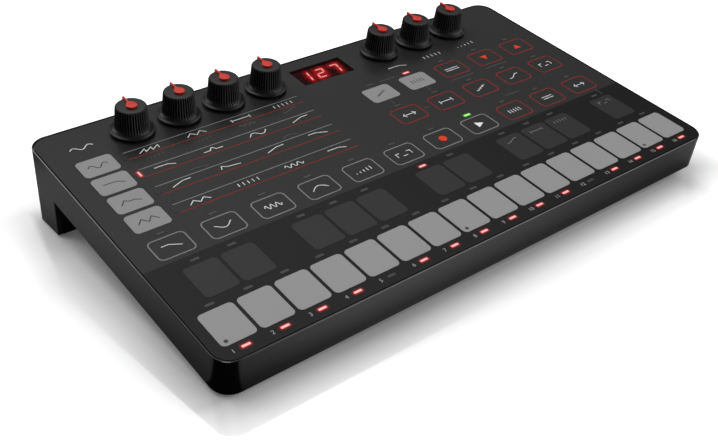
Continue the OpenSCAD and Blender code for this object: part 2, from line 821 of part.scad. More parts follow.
module contact_block(s, grow) {
    x = s * (bay_half - contact_t / 2);
    translate([x - contact_t / 2 - grow, cell_y - contact_w / 2 - grow, cell_z - cell_r / 2])
        cube([contact_t + 2 * grow, contact_w + 2 * grow, deep]);
}

module bottom_cover() {
    color(case_black) difference() {
        union() {
            on_panel() cover_slab(-case_h);
            on_panel() for (p = boss_at) boss(p, screw_head_r + seat_wall, -case_h, boss_end);
            intersection() {
                foot_space();
                union() {
                    on_panel() translate([-half_w, foot_v, -deep - over]) cube([case_w, cover_t, deep]);
                    for (s = [-1, 1]) {
                        foot_block(min(s * (door_w / 2 + slide_gap), s * half_w),
                                   max(s * (door_w / 2 + slide_gap), s * half_w), 0, pad_h + end_block_h);
                        foot_block(s * (bay_half + rib_t / 2) - rib_t / 2,
                                   s * (bay_half + rib_t / 2) + rib_t / 2, 0, deep);
                    }
                }
            }
        }
        door_space();
        on_panel() for (p = boss_at) {
            boss(p, screw_head_r + fit_gap, -case_h - over, screw_seat_n);
            boss(p, screw_r + fit_gap, -case_h - over, boss_end + over);
        }
        for (s = [-1, 1]) {
            front_pad_block(s * (half_w - front_pad_side));
            rear_pad_block(s);
            contact_block(s, fit_gap);
        }
    }
}

module battery_door() {
    first_grip = cell_y - (grip_count - 1) / 2 * grip_pitch - grip_w / 2;
    color(case_black) difference() {
        union() {
            translate([-door_w / 2, door_front, pad_h]) cube([door_w, door_rear - door_front, door_t]);
            translate([-door_w / 2 - runner_w, door_front + runner_in, runner_z])
                cube([door_w + 2 * runner_w, door_rear - door_front - runner_in, runner_h]);
        }
        for (i = [0 : grip_count - 1]) translate([-grip_l / 2, first_grip + i * grip_pitch, pad_h - over])
            cube([grip_l, grip_w, over + grip_depth]);
    }
}

module battery_cells() {
    color(cell_grey) for (i = [0 : cell_count - 1])
        translate([(i - cell_count / 2) * cell_pitch, cell_y, cell_z]) rotate([0, 90, 0]) {
            cylinder(r = cell_r, h = cell_l - nub_h);
            cylinder(r = nub_r, h = cell_l);
        }
}

// Contact plates at both ends of the bay, with tails up to the main board
module battery_contacts() {
    color(metal_grey) intersection() {
        for (s = [-1, 1]) contact_block(s, 0);
        on_panel() translate([-half_w, -half_d, -deep]) cube([case_w, case_d, deep + main_under]);
    }
}

// Pan-head screw that points up, with a cross cut into its head
module screw(head_r, head_h, shank_r, seat, tip) {
    slot_w = slot_w_share * head_r;
    slot_l = slot_l_share * head_r;
    difference() {
        union() {
            translate([0, 0, seat - head_h]) cylinder(r = head_r, h = head_h);
            translate([0, 0, seat]) cylinder(r = shank_r, h = tip - seat);
        }
        for (a = [0, 90]) rotate(a) translate([-slot_l / 2, -slot_w / 2, seat - head_h - over])
            cube([slot_l, slot_w, over + head_h / 2]);
    }
}

module case_screws() {
    color(metal_grey) on_panel() for (p = boss_at) translate(p)
        screw(screw_head_r, screw_head_h, screw_r, screw_seat_n, plate_under - 2 * over);
}

module board_screws() {
    color(metal_grey) on_panel() for (p = pillar_at) translate(p)
        screw(small_head_r, small_head_h, small_screw_r, main_under, plate_under - 2 * over);
}

module pot(i) {
    color(metal_grey) on_panel() translate([knob_u(i), knob_v, 0]) difference() {
        union() {
            translate([-pot_w / 2, -pot_l / 2, main_top]) cube([pot_w, pot_l, pot_h]);
            translate([0, 0, main_top]) cylinder(r = bushing_r, h = overlay_top - main_top);
        }
        translate([0, 0, main_top + pot_floor]) cylinder(r = shaft_r + shaft_gap, h = -main_top);
    }
}

module shaft(i) {
    foot = main_top + pot_floor + shaft_gap;
    color(metal_grey) on_panel() translate([knob_u(i), knob_v, foot])
        cylinder(r = shaft_r, h = shaft_up - foot);
}

// Half section of a knob: rim, hollow flare, tapered body and rounded cap edge
module knob_section() {
    arc_steps = 5;
    flare = [for (i = [0 : arc_steps]) let (a = 90 * i / arc_steps)
        [body_r + (skirt_r - body_r) * (1 - sin(a)), flare_n - skirt_flare * cos(a)]];
    edge = [for (i = [0 : arc_steps]) let (a = 90 * i / arc_steps)
        [cap_r - cap_edge * (1 - cos(a)), body_top + cap_edge * sin(a)]];
    polygon(concat([[0, knob_lift], [skirt_r, knob_lift]], flare, edge, [[0, knob_h]]));
}

// Plan of a pointer: a round end at the cap's middle and a tail over the rear rim
module pointer_plan() {
    shoulder_angle = 60;
    tail_from = shoulder_share * pointer_r - pointer_front;
    tail_end = cap_r + tail_over;
    shoulder = pointer_r * sin(shoulder_angle) - pointer_front;
    shoulder_w = pointer_r * cos(shoulder_angle);
    translate([0, -pointer_front]) circle(pointer_r);
    polygon([[-shoulder_w, shoulder], [shoulder_w, shoulder], [tail_w / 2, tail_from],
             [tail_w / 2, tail_end], [-tail_w / 2, tail_end], [-tail_w / 2, tail_from]]);
}

module knob(i) {
    flute_l = (body_top - flare_n) / cos(flute_lean) + over;
    color(knob_black) on_panel() translate([knob_u(i), knob_v, 0]) difference() {
        rotate_extrude() knob_section();
        for (k = [0 : flute_count - 1]) rotate(360 * (k + 0.5) / flute_count)
            translate([body_r, 0, flare_n]) rotate([0, -flute_lean, 0])
                cylinder(r = flute_r, h = flute_l, $fn = 16);
        translate([0, 0, knob_h - pointer_sink]) linear_extrude(pointer_sink + over) pointer_plan();
        cylinder(r = shaft_r + shaft_gap, h = shaft_up);
    }
}

module pointer(i) {
    color(pointer_red) on_panel() translate([knob_u(i), knob_v, knob_h - pointer_sink])
        linear_extrude(pointer_sink + pointer_rise) pointer_plan();
}

top_case();
bottom_cover();
panel_overlay();
light_keys();
dark_keys();
grey_pads();
step_lamps();
key_lamps();
button_lamps();
row_lamps();
display_window();
display_module();
display_segments();
touch_board();
main_board();
board_link();
board_chips();
capacitors();
audio_out_socket();
audio_in_socket();
control_out_socket();
control_in_socket();
data_socket();
switch_body();
switch_lever();
battery_cells();
battery_contacts();
battery_door();
case_screws();
board_screws();
rubber_feet();
for (i = [0 : knob_count - 1]) {
    pot(i);
    shaft(i);
    knob(i);
    pointer(i);
}
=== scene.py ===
"""Looks of a compact desktop analog synthesizer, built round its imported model.

Lengths on the panel are in millimetres: u to the right, v up the slope and n out of the panel,
from the panel's centre. Everything else is in metres, in the model's own frame.
"""

import json
import math

import bmesh
import bpy
from mathutils import Matrix, Vector


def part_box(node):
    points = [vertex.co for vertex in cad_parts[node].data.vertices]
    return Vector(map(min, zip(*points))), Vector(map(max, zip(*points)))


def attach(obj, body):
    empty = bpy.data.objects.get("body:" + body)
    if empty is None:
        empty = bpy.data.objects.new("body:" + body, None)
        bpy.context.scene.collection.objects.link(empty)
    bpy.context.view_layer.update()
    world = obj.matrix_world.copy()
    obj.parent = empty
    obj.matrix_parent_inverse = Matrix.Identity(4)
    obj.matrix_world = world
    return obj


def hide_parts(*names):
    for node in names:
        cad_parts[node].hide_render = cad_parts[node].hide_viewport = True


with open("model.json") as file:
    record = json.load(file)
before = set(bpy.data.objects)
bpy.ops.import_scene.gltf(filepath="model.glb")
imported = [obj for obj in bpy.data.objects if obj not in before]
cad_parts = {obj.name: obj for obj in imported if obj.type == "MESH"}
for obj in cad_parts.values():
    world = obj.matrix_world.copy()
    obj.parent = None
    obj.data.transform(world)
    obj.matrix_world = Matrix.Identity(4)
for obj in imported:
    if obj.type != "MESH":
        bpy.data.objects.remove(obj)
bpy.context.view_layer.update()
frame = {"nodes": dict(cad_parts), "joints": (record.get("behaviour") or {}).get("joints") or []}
nodes = frame["nodes"]
joints = {j["name"]: j for j in frame["joints"]}

# Sizes of the panel, in millimetres
MM = 0.001
CASE_W = 256.0
CASE_D = 147.0
CASE_H = 15.8
CORNER_R = 7.8
EDGE_CHAMFER = 0.25
WALL = 2.2
LIP_W = 0.4
GROOVE_W = 0.6
BORDER_W = 1.5
PLATE_TOP = -0.85
PLATE_UNDER = -2.45
FACE = -0.15
FOOT_D = 22.5
FOOT_LEVEL = 0.6
KNOB_V = 58.8
KNOB_HOLE_R = 3.8
SOCKET_N = -7.5
SOCKET_R = 2.95
KEY_COUNT = 16
KEY_MARGIN = 4.56
KEY_GAP = 1.43
KEY_PITCH = (CASE_W - 2 * KEY_MARGIN) / KEY_COUNT
KEY_W = KEY_PITCH - KEY_GAP
KEY_T = 0.08
LIGHT_V = -57.3
LIGHT_L = 17.0
DARK_V = -34.9
DARK_L = 17.2
KEY_R = 1.9
OCTAVE = 7
SHARPS = (0, 1, 3, 4, 5)
ZONE_V = -21.0
COLUMN_PITCH = 22.04
COLUMN_0 = -111.0
ROW_V = (-13.05, 9.2, 29.2)
BUTTON_W = 15.5
BUTTON_L = 11.7
BUTTON_R = 2.4
BUTTON_LINE = 0.54
PAD_W = 15.2
PAD_L = 11.4
PAD_V = (4.5, 17.68, 30.86, 44.04)
LAMP_W = 3.6
LAMP_L = 1.2
LAMP_R = 0.35
LAMP_T = 0.1
LAMP_RISE = 8.25
KEY_LAMP_GAP = 2.5
STEP_V = -68.7
ROW_LAMP_U = -100.0
DISPLAY_U = 9.5
DISPLAY_W = 29.0
DISPLAY_L = 14.0
DISPLAY_R = 1.1
DISPLAY_LEDGE = 1
PRINT_T = 0.02
PLATE_EDGE = 0.03
PROUD = 0.005
CLEAR = 0.01
OVERCUT = 5
DIALS = range(1, 8)
PLUG_SOCKETS = ["audio_out_socket", "audio_in_socket", "control_out_socket", "control_in_socket"]

light_u = [(i - (KEY_COUNT - 1) / 2) * KEY_PITCH for i in range(KEY_COUNT)]
dark_u = [(i + 1 - KEY_COUNT / 2) * KEY_PITCH for i in range(KEY_COUNT - 1) if i % OCTAVE in SHARPS]
column_u = [COLUMN_0 + k * COLUMN_PITCH for k in range(11)]

# The panel's own axes, from the first dial's joint
first_dial = joints["dial_1_turn"]
normal = Vector(first_dial["axis"]).normalized()
across = Vector((1, 0, 0))
upslope = normal.cross(across)
origin = Vector(first_dial["pos_m"]) - upslope * KNOB_V * MM
origin.x = 0
to_world = Matrix.Translation(origin) @ (Matrix((across, upslope, normal)).transposed() * MM).to_4x4()


def at(u, v, n):
    """A place on the panel, in the model's frame."""
    return to_world @ Vector((u, v, n))


def level_n(v, height):
    """The n at which a point at v lies that many millimetres above the table."""
    return (height - origin.z / MM - v * upslope.z) / normal.z


# Materials

# Names of what a mesh tells its material about its points: its glow, and where the knobs' painted ridge
# highlight and painted flute shade lie
GLOW = "glow"
RIDGE_HIGHLIGHT = "ridge"
GLOSS_AND_FLUTE_SHADE = "gloss"


def grey(level):
    """A colour without a hue."""
    return level, level, level


OVERLAY = grey(0.0205)
ZONE = grey(0.003)
MODULE = (0.02, 0.004, 0.004)
PANEL_ROUGH = 0.33
SHEEN = 0.115
RED_LIGHT = (1.0, 0.03, 0.03)
GREEN_LIGHT = (0.10, 0.80, 0.05)

# Slow and fine changes to the metre, height of the grain in metres, and the range of most of a noise
SLOW = 30.0
FINE = 900.0
GRAIN_H = 0.00002
NOISE_LOW = 0.3
NOISE_HIGH = 0.7


def new_material(name):
    """A material, its shader, and an output that gives the place on the surface."""
    mat = bpy.data.materials.new(name)
    mat.use_nodes = True
    place = mat.node_tree.nodes.new("ShaderNodeTexCoord")
    return mat, mat.node_tree.nodes["Principled BSDF"], place.outputs["Object"]


def add_node(near, kind):
    """A new node in the tree of another node or of its output."""
    return near.id_data.nodes.new(kind)


def feed(node, values):
    """Ties inputs of a node to outputs of others, or sets them to a number or a colour."""
    for key, value in values.items():
        if isinstance(value, bpy.types.NodeSocket):
            node.id_data.links.new(value, node.inputs[key])
        else:
            node.inputs[key].default_value = value


def noise(place, scale, detail=2.0):
    """A noise of that many features to the metre."""
    n = add_node(place, "ShaderNodeTexNoise")
    feed(n, {"Vector": place, "Scale": scale, "Detail": detail})
    return n.outputs["Fac"]


def mapped(value, low, high, to_low, to_high, way="LINEAR"):
    """A value moved from one range to another."""
    m = add_node(value, "ShaderNodeMapRange")
    m.interpolation_type = way
    feed(m, {"Value": value, "From Min": low, "From Max": high, "To Min": to_low, "To Max": to_high})
    return m.outputs["Result"]


def spread(value, low, high):
    """A noise value spread over a range."""
    return mapped(value, NOISE_LOW, NOISE_HIGH, low, high)


def combined(operation, *values):
    """The result of a sum on an output of a node and, with some, on another output or a number."""
    m = add_node(values[0], "ShaderNodeMath")
    m.operation = operation
    feed(m, dict(enumerate(values)))
    return m.outputs["Value"]


def held(near, name):
    """A number that the mesh holds at its points."""
    a = add_node(near, "ShaderNodeAttribute")
    a.attribute_name = name
    return a.outputs["Fac"]


def times(color, factor):
    """A colour made paler or darker."""
    return [c * factor for c in color]


def tinted(factor, low, high):
    """A colour between two others."""
    m = add_node(factor, "ShaderNodeMix")
    m.data_type = "RGBA"
    feed(m, {0: factor, 6: (*low, 1), 7: (*high, 1)})
    return m.outputs[2]


def bumped(height, strength, depth):
    """The normal of a surface that is rough by that depth, in metres."""
    b = add_node(height, "ShaderNodeBump")
    feed(b, {"Height": height, "Strength": strength, "Distance": depth})
    return b.outputs["Normal"]


def plastic(name, color, rough, grain=3500.0, bump=0.12, vary=0.1, specular=0.5, rough_vary=0.05):
    """Moulded or printed plastic: a fine grain, and slow changes of tone and gloss."""
    mat, shader, place = new_material(name)
    slow = noise(place, SLOW)
    fine = noise(place, grain)
    feed(shader, {
        "Base Color": tinted(slow, times(color, 1 - vary), times(color, 1 + vary)),
        "Roughness": spread(fine, rough - rough_vary, rough + rough_vary),
        "Specular IOR Level": specular,
        "Normal": bumped(fine, bump, GRAIN_H),
    })
    return mat


def ridge_highlighted(name, flute, ridge, rough):
    """Black plastic, paler on the ridges between its flutes as a painted highlight, and less glossy in the
    flutes as painted shade: the mesh holds where, and how glossy.
    """
    mat = plastic(name, flute, rough, grain=3000, bump=0.1)
    shader = mat.node_tree.nodes["Principled BSDF"]
    tone = tinted(held(shader, RIDGE_HIGHLIGHT), flute, ridge)
    feed(shader, {"Base Color": tone, "Specular IOR Level": held(shader, GLOSS_AND_FLUTE_SHADE)})
    return mat


def panel_face(name, color, bump=0.1, vary=0.1):
    """A face of the touch panel."""
    return plastic(name, color, PANEL_ROUGH, grain=5000, bump=bump, vary=vary, specular=SHEEN)


def ink(name, color, vary=0.05):
    """Matt print."""
    return plastic(name, color, 0.6, vary=vary, specular=0.1)


def metal(name, color, rough):
    """Plated metal with fine marks."""
    mat, shader, place = new_material(name)
    fine = noise(place, FINE, 4.0)
    feed(shader, {
        "Base Color": tinted(fine, times(color, 0.85), color),
        "Roughness": spread(fine, rough - 0.06, rough + 0.08),
        "Metallic": 1.0,
        "Normal": bumped(fine, 0.06, GRAIN_H / 2),
    })
    return mat


def glowing(name, color, light, strength=1.0):
    """A light guide that shines."""
    mat, shader, place = new_material(name)
    slow = noise(place, FINE)
    feed(shader, {
        "Base Color": tinted(slow, times(color, 0.9), color),
        "Roughness": spread(slow, 0.3, 0.4),
        "Emission Color": (*light, 1),
        "Emission Strength": strength,
    })
    return mat


def filter_glass(name, color):
    """A thin tinted window that lets most of the light through."""
    mat, shader, place = new_material(name)
    tone = tinted(noise(place, 60.0), times(color, 0.95), color)
    feed(shader, {"Base Color": tone, "Roughness": 0.3, "Specular IOR Level": 0.0, "Alpha": 0.35})
    return mat


def halo(name, color, light, strength):
    """A surface that catches the glow of a lamp: the mesh holds how much."""
    mat, shader, place = new_material(name)
    feed(shader, {
        "Base Color": tinted(noise(place, SLOW), times(color, 0.9), times(color, 1.1)),
        "Roughness": PANEL_ROUGH,
        "Specular IOR Level": SHEEN,
        "Emission Color": (*light, 1),
        "Emission Strength": combined("MULTIPLY", held(shader, GLOW), strength),
    })
    return mat


case_black = plastic("case_black", (0.0035, 0.0035, 0.0036), 0.18, grain=2600, bump=0.03, rough_vary=0.02)
overlay_grey = panel_face("overlay_grey", OVERLAY)
zone_grey = panel_face("zone_grey", ZONE)
light_key_grey = panel_face("light_key_grey", grey(0.332), bump=0.08, vary=0.02)
pad_grey = panel_face("pad_grey", grey(0.285), bump=0.08, vary=0.02)
dark_key_grey = panel_face("dark_key_grey", grey(0.024), bump=0.08, vary=0.04)
# The paler ridge colour is a painted highlight on the knobs, set against near-black flutes.
knob_black = ridge_highlighted("knob_black", grey(0.003), grey(0.03), 0.36)
pointer_red = plastic("pointer_red", (0.56, 0.026, 0.014), 0.38, grain=3000, bump=0.06, vary=0.05,
                      specular=0.3)
print_white = ink("print_white", grey(0.72))
print_grey = ink("print_grey", grey(0.23))
print_soft = ink("print_soft", grey(0.17))
print_pale = ink("print_pale", grey(0.4))
print_dim = ink("print_dim", grey(0.085))
print_red = ink("print_red", (0.25, 0.026, 0.024))
print_bright_red = ink("print_bright_red", (0.85, 0.055, 0.026))
print_bright = ink("print_bright", grey(0.95), vary=0.02)
print_ink = ink("print_ink", grey(0.07))
lamp_dark = plastic("lamp_dark", (0.056, 0.054, 0.054), 0.4, vary=0.05, specular=0.15)
lamp_faint = plastic("lamp_faint", (0.027, 0.026, 0.026), PANEL_ROUGH, vary=0.05, specular=SHEEN)
lamp_red = glowing("lamp_red", (0.5, 0.05, 0.05), (0.62, 0.10, 0.10))
lamp_core = glowing("lamp_core", (0.5, 0.2, 0.2), (0.80, 0.38, 0.38))
lamp_green = glowing("lamp_green", (0.1, 0.4, 0.05), (0.10, 0.55, 0.05))
lamp_green_core = glowing("lamp_green_core", (0.2, 0.5, 0.1), (0.42, 0.82, 0.27))
zone_halo = halo("zone_halo", ZONE, RED_LIGHT, 0.25)
panel_halo = halo("panel_halo", OVERLAY, RED_LIGHT, 0.3)
green_halo = halo("green_halo", OVERLAY, GREEN_LIGHT, 0.25)
segment_lit = glowing("segment_lit", (0.9, 0.08, 0.05), (0.95, 0.09, 0.09), 1.1)
segment_core = glowing("segment_core", (0.9, 0.5, 0.5), (1.0, 0.60, 0.60), 1.2)
module_face = ink("module_face", MODULE, vary=0.1)
module_glow = halo("module_glow", MODULE, (1.0, 0.01, 0.015), 0.7)
window_red = filter_glass("window_red", (0.03, 0.004, 0.005))
board_green = plastic("board_green", (0.012, 0.07, 0.03), 0.35, grain=1500)
moulding_black = plastic("moulding_black", (0.006, 0.006, 0.0065), 0.35)
plated = metal("plated", (0.62, 0.62, 0.60), 0.28)
can_metal = metal("can_metal", (0.55, 0.56, 0.58), 0.32)
rubber = plastic("rubber", grey(0.012), 0.75, grain=2200, bump=0.3, specular=0.3)


# Shapes

def rounded_rect(w, l, r, u=0.0, v=0.0, steps=8):
    """Outline of a rectangle with round corners, anticlockwise."""
    points = []
    for quarter in range(4):
        cu = (w / 2 - r) * (1, -1, -1, 1)[quarter]
        cv = (l / 2 - r) * (1, 1, -1, -1)[quarter]
        for i in range(steps + 1):
            a = math.pi / 2 * (quarter + i / steps)
            points.append((u + cu + r * math.cos(a), v + cv + r * math.sin(a)))
    return points


def disc(r, u=0.0, v=0.0, steps=24):
    """Outline of a circle, anticlockwise."""
    turns = [2 * math.pi * i / steps for i in range(steps)]
    return [(u + r * math.cos(a), v + r * math.sin(a)) for a in turns]


def bar(u0, v0, u1, v1):
    """Outline of a rectangle between two corners, anticlockwise."""
    return [(u0, v0), (u1, v0), (u1, v1), (u0, v1)]


def ribbon(points, width):
    """Outline of a stroke of that width along an open line, with mitred bends."""
    least_mitre = 0.4
    left, right = [], []
    for i, p in enumerate(points):
        here = Vector(p)
        before = (here - Vector(points[i - 1])).normalized() if i else None
        after = (Vector(points[i + 1]) - here).normalized() if i + 1 < len(points) else None
        before = before or after
        after = after or before
        side_a = Vector((-before.y, before.x))
        side_b = Vector((-after.y, after.x))
        side = (side_a + side_b).normalized()
        reach = width / 2 / max(side.dot(side_a), least_mitre)
        left.append(tuple(here + side * reach))
        right.append(tuple(here - side * reach))
    return left[::-1] + right


def join_loops(bm, loops, closed=False):
    """Faces between each loop of points and the next, and from the last to the first if closed."""
    followers = loops[1:] + loops[:1] if closed else loops[1:]
    for a, b in zip(loops, followers):
        for i in range(len(a)):
            j = (i + 1) % len(a)
            bm.faces.new((a[i], a[j], b[j], b[i]))


def add_prism(bm, outline, low, high):
    """A closed prism on an outline, between two levels."""
    bottom, top = [[bm.verts.new((u, v, n)) for u, v in outline] for n in (low, high)]
    bm.faces.new(top)
    bm.faces.new(bottom[::-1])
    join_loops(bm, [bottom, top])


def add_ring(bm, outer, inner, low, high):
    """A closed ring between two outlines with as many points."""
    section = ((outer, low), (outer, high), (inner, high), (inner, low))
    join_loops(bm, [[bm.verts.new((u, v, n)) for u, v in outline] for outline, n in section], closed=True)


def shade(mesh, angle):
    """Smooth shading, with edges sharper than the angle left crisp."""
    mesh.polygons.foreach_set("use_smooth", [True] * len(mesh.polygons))
    mesh.set_sharp_from_angle(angle=math.radians(angle))


def new_object(name, data):
    """An object in the scene."""
    obj = bpy.data.objects.new(name, data)
    bpy.context.scene.collection.objects.link(obj)
    return obj


def mesh_of(name, bm):
    """A mesh whose faces look outwards. The bmesh is used up."""
    mesh = bpy.data.meshes.new(name)
    bmesh.ops.recalc_face_normals(bm, faces=bm.faces)
    bm.to_mesh(mesh)
    bm.free()
    return mesh


def piece(name, shape, material, replaces=(), body="case", angle=35):
    """A piece of the object, moved from the panel's millimetres into the model's frame."""
    mesh = mesh_of(name, shape) if isinstance(shape, bmesh.types.BMesh) else shape
    mesh.transform(to_world)
    mesh.materials.clear()
    mesh.materials.append(material)
    if angle is not None:
        shade(mesh, angle)
    obj = new_object(name, mesh)
    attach(obj, body)
    if replaces:
        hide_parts(*replaces)
    return obj


def scratch_object(bm):
    """An object for cutting others or for being cut, which is removed afterwards."""
    return new_object("scratch", mesh_of("scratch", bm))


def evaluated_mesh(obj):
    """The mesh of an object after its modifiers."""
    graph = bpy.context.evaluated_depsgraph_get()
    return bpy.data.meshes.new_from_object(obj.evaluated_get(graph))


def settle(obj):
    """Applies an object's modifiers to its mesh."""
    mesh = evaluated_mesh(obj)
    obj.modifiers.clear()
    obj.data = mesh


def cut(obj, tool, operation="DIFFERENCE"):
    """Cuts an object with a scratch object, which is used up."""
    m = obj.modifiers.new("cut", "BOOLEAN")
    m.operation = operation
    m.solver = "EXACT"
    m.object = tool
    settle(obj)
    bpy.data.objects.remove(tool)


def bevel(obj, width, segments, angle=30):
    """Softens the edges of an object that are sharper than an angle."""
    m = obj.modifiers.new("bevel", "BEVEL")
    m.width = width
    m.segments = segments
    m.limit_method = "ANGLE"
    m.angle_limit = math.radians(angle)
    m.miter_outer = "MITER_ARC"
    settle(obj)


def flatten_shading(obj, angle):
    """Smooth shading that leaves large faces flat, so that only the small ones beside them bend the light."""
    shade(obj.data, angle)
    m = obj.modifiers.new("flatten", "WEIGHTED_NORMAL")
    m.mode = "FACE_AREA"
    m.weight = 100
    m.keep_sharp = True
    settle(obj)


def flat_solid(outline, low, high):
    """A scratch object: a prism on an outline, between two levels."""
    bm = bmesh.new()
    add_prism(bm, outline, low, high)
    return scratch_object(bm)


def bar_solid(bm, ends):
    """A scratch object between two loops of points."""
    bm.faces.new(ends[0])
    bm.faces.new(ends[1][::-1])
    join_loops(bm, ends)
    return scratch_object(bm)


def side_solid(outline, half):
    """A scratch object: a bar along u whose section is an outline of v and n."""
    bm = bmesh.new()
    return bar_solid(bm, [[bm.verts.new((u, v, n)) for v, n in outline] for u in (-half, half)])


def rear_peg(u, n, r):
    """A scratch object: a round bar through the rear wall."""
    bm = bmesh.new()
    ends = CASE_D / 2 - 2 * WALL, CASE_D / 2 + WALL
    return bar_solid(bm, [[bm.verts.new((u + a, v, n + b)) for a, b in disc(r, steps=32)] for v in ends])


def finished(obj):
    """Takes the mesh out of a scratch object."""
    mesh = obj.data
    bpy.data.objects.remove(obj)
    return mesh


# Case: one moulding with rounded edges, a recess for the overlay and holes for the sockets

def node_centre(name):
    """Middle of a node, in panel millimetres."""
    low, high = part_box(name)
    return to_world.inverted() @ ((low + high) / 2)


def inset_outline(inset):
    """Outline of the case, moved inwards."""
    return rounded_rect(CASE_W - 2 * inset, CASE_D - 2 * inset, CORNER_R - inset, steps=28)


def make_case():
    """The shell: cut from a block, hollow underneath, with a foot under its rear edge."""
    half_d = CASE_D / 2
    foot_v = half_d - FOOT_D
    deep = 45.0
    body = flat_solid(inset_outline(0), -deep, 0)
    end_v = half_d + OVERCUT
    profile = [(-end_v, OVERCUT), (end_v, OVERCUT), (end_v, level_n(end_v, FOOT_LEVEL)),
               (foot_v, level_n(foot_v, FOOT_LEVEL)), (foot_v, -CASE_H), (-end_v, -CASE_H)]
    cut(body, side_solid(profile, CASE_W), "INTERSECT")
    bevel(body, EDGE_CHAMFER, 1)
    bevel(body, EDGE_CHAMFER / 5, 2, angle=20)
    cut(body, flat_solid(inset_outline(LIP_W), PLATE_TOP, OVERCUT))
    cut(body, flat_solid(inset_outline(WALL), -2 * deep, PLATE_UNDER))
    for name in PLUG_SOCKETS:
        cut(body, rear_peg(node_centre(name).x, SOCKET_N, SOCKET_R))
    for name, w, h in (("data_socket", 7.9, 3.2), ("switch_body", 5.2, 2.4)):
        middle = node_centre(name)
        slot = bar(half_d - 2 * WALL, middle.z - h / 2, half_d + WALL, middle.z + h / 2)
        tool = side_solid(slot, w / 2)
        tool.data.transform(Matrix.Translation((middle.x, 0, 0)))
        cut(body, tool)
    half_w, half_l = DISPLAY_W / 2 - DISPLAY_LEDGE, DISPLAY_L / 2 - DISPLAY_LEDGE
    hole = bar(DISPLAY_U - half_w, KNOB_V - half_l, DISPLAY_U + half_w, KNOB_V + half_l)
    cut(body, flat_solid(hole, -OVERCUT, OVERCUT))
    for i in DIALS:
        hole = disc(KNOB_HOLE_R, node_centre(f"knob_{i}").x, KNOB_V, steps=40)
        cut(body, flat_solid(hole, -OVERCUT, OVERCUT))
    flatten_shading(body, 25)
    return piece("case_shell", finished(body), case_black, ["top_case"], angle=None)


def make_border():
    """The overlay's edge, which leaves a narrow groove inside the case's lip."""
    bm = bmesh.new()
    add_ring(bm, inset_outline(LIP_W + GROOVE_W), inset_outline(BORDER_W), PLATE_TOP, FACE + PROUD)
    piece("overlay_border", bm, overlay_grey)


# Flush print and keys

def make_plates(name, outlines, thick, material, replaces=()):
    """Flat plates on the overlay, with softened edges."""
    bm = bmesh.new()
    for outline in outlines:
        add_prism(bm, outline, FACE, FACE + thick)
    obj = scratch_object(bm)
    bevel(obj, PLATE_EDGE, 2)
    piece(name, finished(obj), material, replaces, angle=15)


def make_print(name, material, outlines, rings=(), level=PRINT_T):
    """Ink on the overlay: filled outlines and rings."""
    bm = bmesh.new()
    for outline in outlines:
        add_prism(bm, outline, FACE, FACE + level + PRINT_T)
    for outer, inner in rings:
        add_ring(bm, outer, inner, FACE, FACE + level + PRINT_T)
    piece(name, bm, material)


def make_keys():
    """Faces of the keys and pads."""
    light = [rounded_rect(KEY_W, LIGHT_L, KEY_R, u, LIGHT_V) for u in light_u]
    dark = [rounded_rect(KEY_W, DARK_L, KEY_R, u, DARK_V) for u in dark_u]
    pads = [rounded_rect(PAD_W, PAD_L, KEY_R, column_u[0], v) for v in PAD_V]
    pads += [rounded_rect(PAD_W, PAD_L, KEY_R, column_u[k], ROW_V[2]) for k in (6, 7)]
    make_plates("light_key_faces", light, KEY_T, light_key_grey, ["light_keys"])
    make_plates("dark_key_faces", dark, KEY_T, dark_key_grey, ["dark_keys"])
    make_plates("grey_pad_faces", pads, KEY_T, pad_grey, ["grey_pads"])


def make_zone():
    """The darker print under the keyboard, round at the front corners."""
    inset = LIP_W + GROOVE_W
    w = CASE_W - 2 * inset
    r = CORNER_R - inset
    front = inset - CASE_D / 2
    whole = rounded_rect(w, 2 * (ZONE_V - front), r, 0, ZONE_V, steps=12)
    outline = [(-w / 2, ZONE_V)] + [p for p in whole if p[1] < ZONE_V] + [(w / 2, ZONE_V)]
    make_print("keyboard_zone", zone_grey, [outline], level=0.0)


# Lamps

def lamp_outline(u, v, upright=False, grow=0.0):
    """Outline of a lamp's window, or of one that is larger on all sides."""
    least_r = 0.15
    w, l = (LAMP_L, LAMP_W) if upright else (LAMP_W, LAMP_L)
    return rounded_rect(w + 2 * grow, l + 2 * grow, max(LAMP_R + grow, least_r), u, v, steps=4)


def lamp_outlines(places, upright=False, grow=0.0):
    """Outlines of several windows."""
    return [lamp_outline(*p, upright, grow) for p in places]


def add_halo(bm, inner, rings):
    """A flat closed ring round a lamp, from its inner outline to its last ring, with a glow that fades."""
    layer = bm.verts.layers.float.get(GLOW) or bm.verts.layers.float.new(GLOW)
    low, high = FACE, FACE + 2.5 * PRINT_T
    levels = [(inner, low, 0.0), (inner, high, 1.0)]
    levels += [(outline, high, glow) for outline, glow in rings]
    levels += [(rings[-1][0], low, 0.0)]
    loops = []
    for outline, n, glow in levels:
        loop = [bm.verts.new((u, v, n)) for u, v in outline]
        for vert in loop:
            vert[layer] = glow
        loops.append(loop)
    join_loops(bm, loops, closed=True)


def make_halos(name, places, material, upright=False):
    """Glow on the overlay round lamps that are lit."""
    reach, steps, fade = 1.3, 6, 2.2
    bm = bmesh.new()
    for p in places:
        rings = []
        for k in range(1, steps + 1):
            rings.append((lamp_outline(*p, upright, reach * k / steps), (1 - k / steps) ** fade))
        add_halo(bm, lamp_outline(*p, upright, PRINT_T), rings)
    piece(name, bm, material)


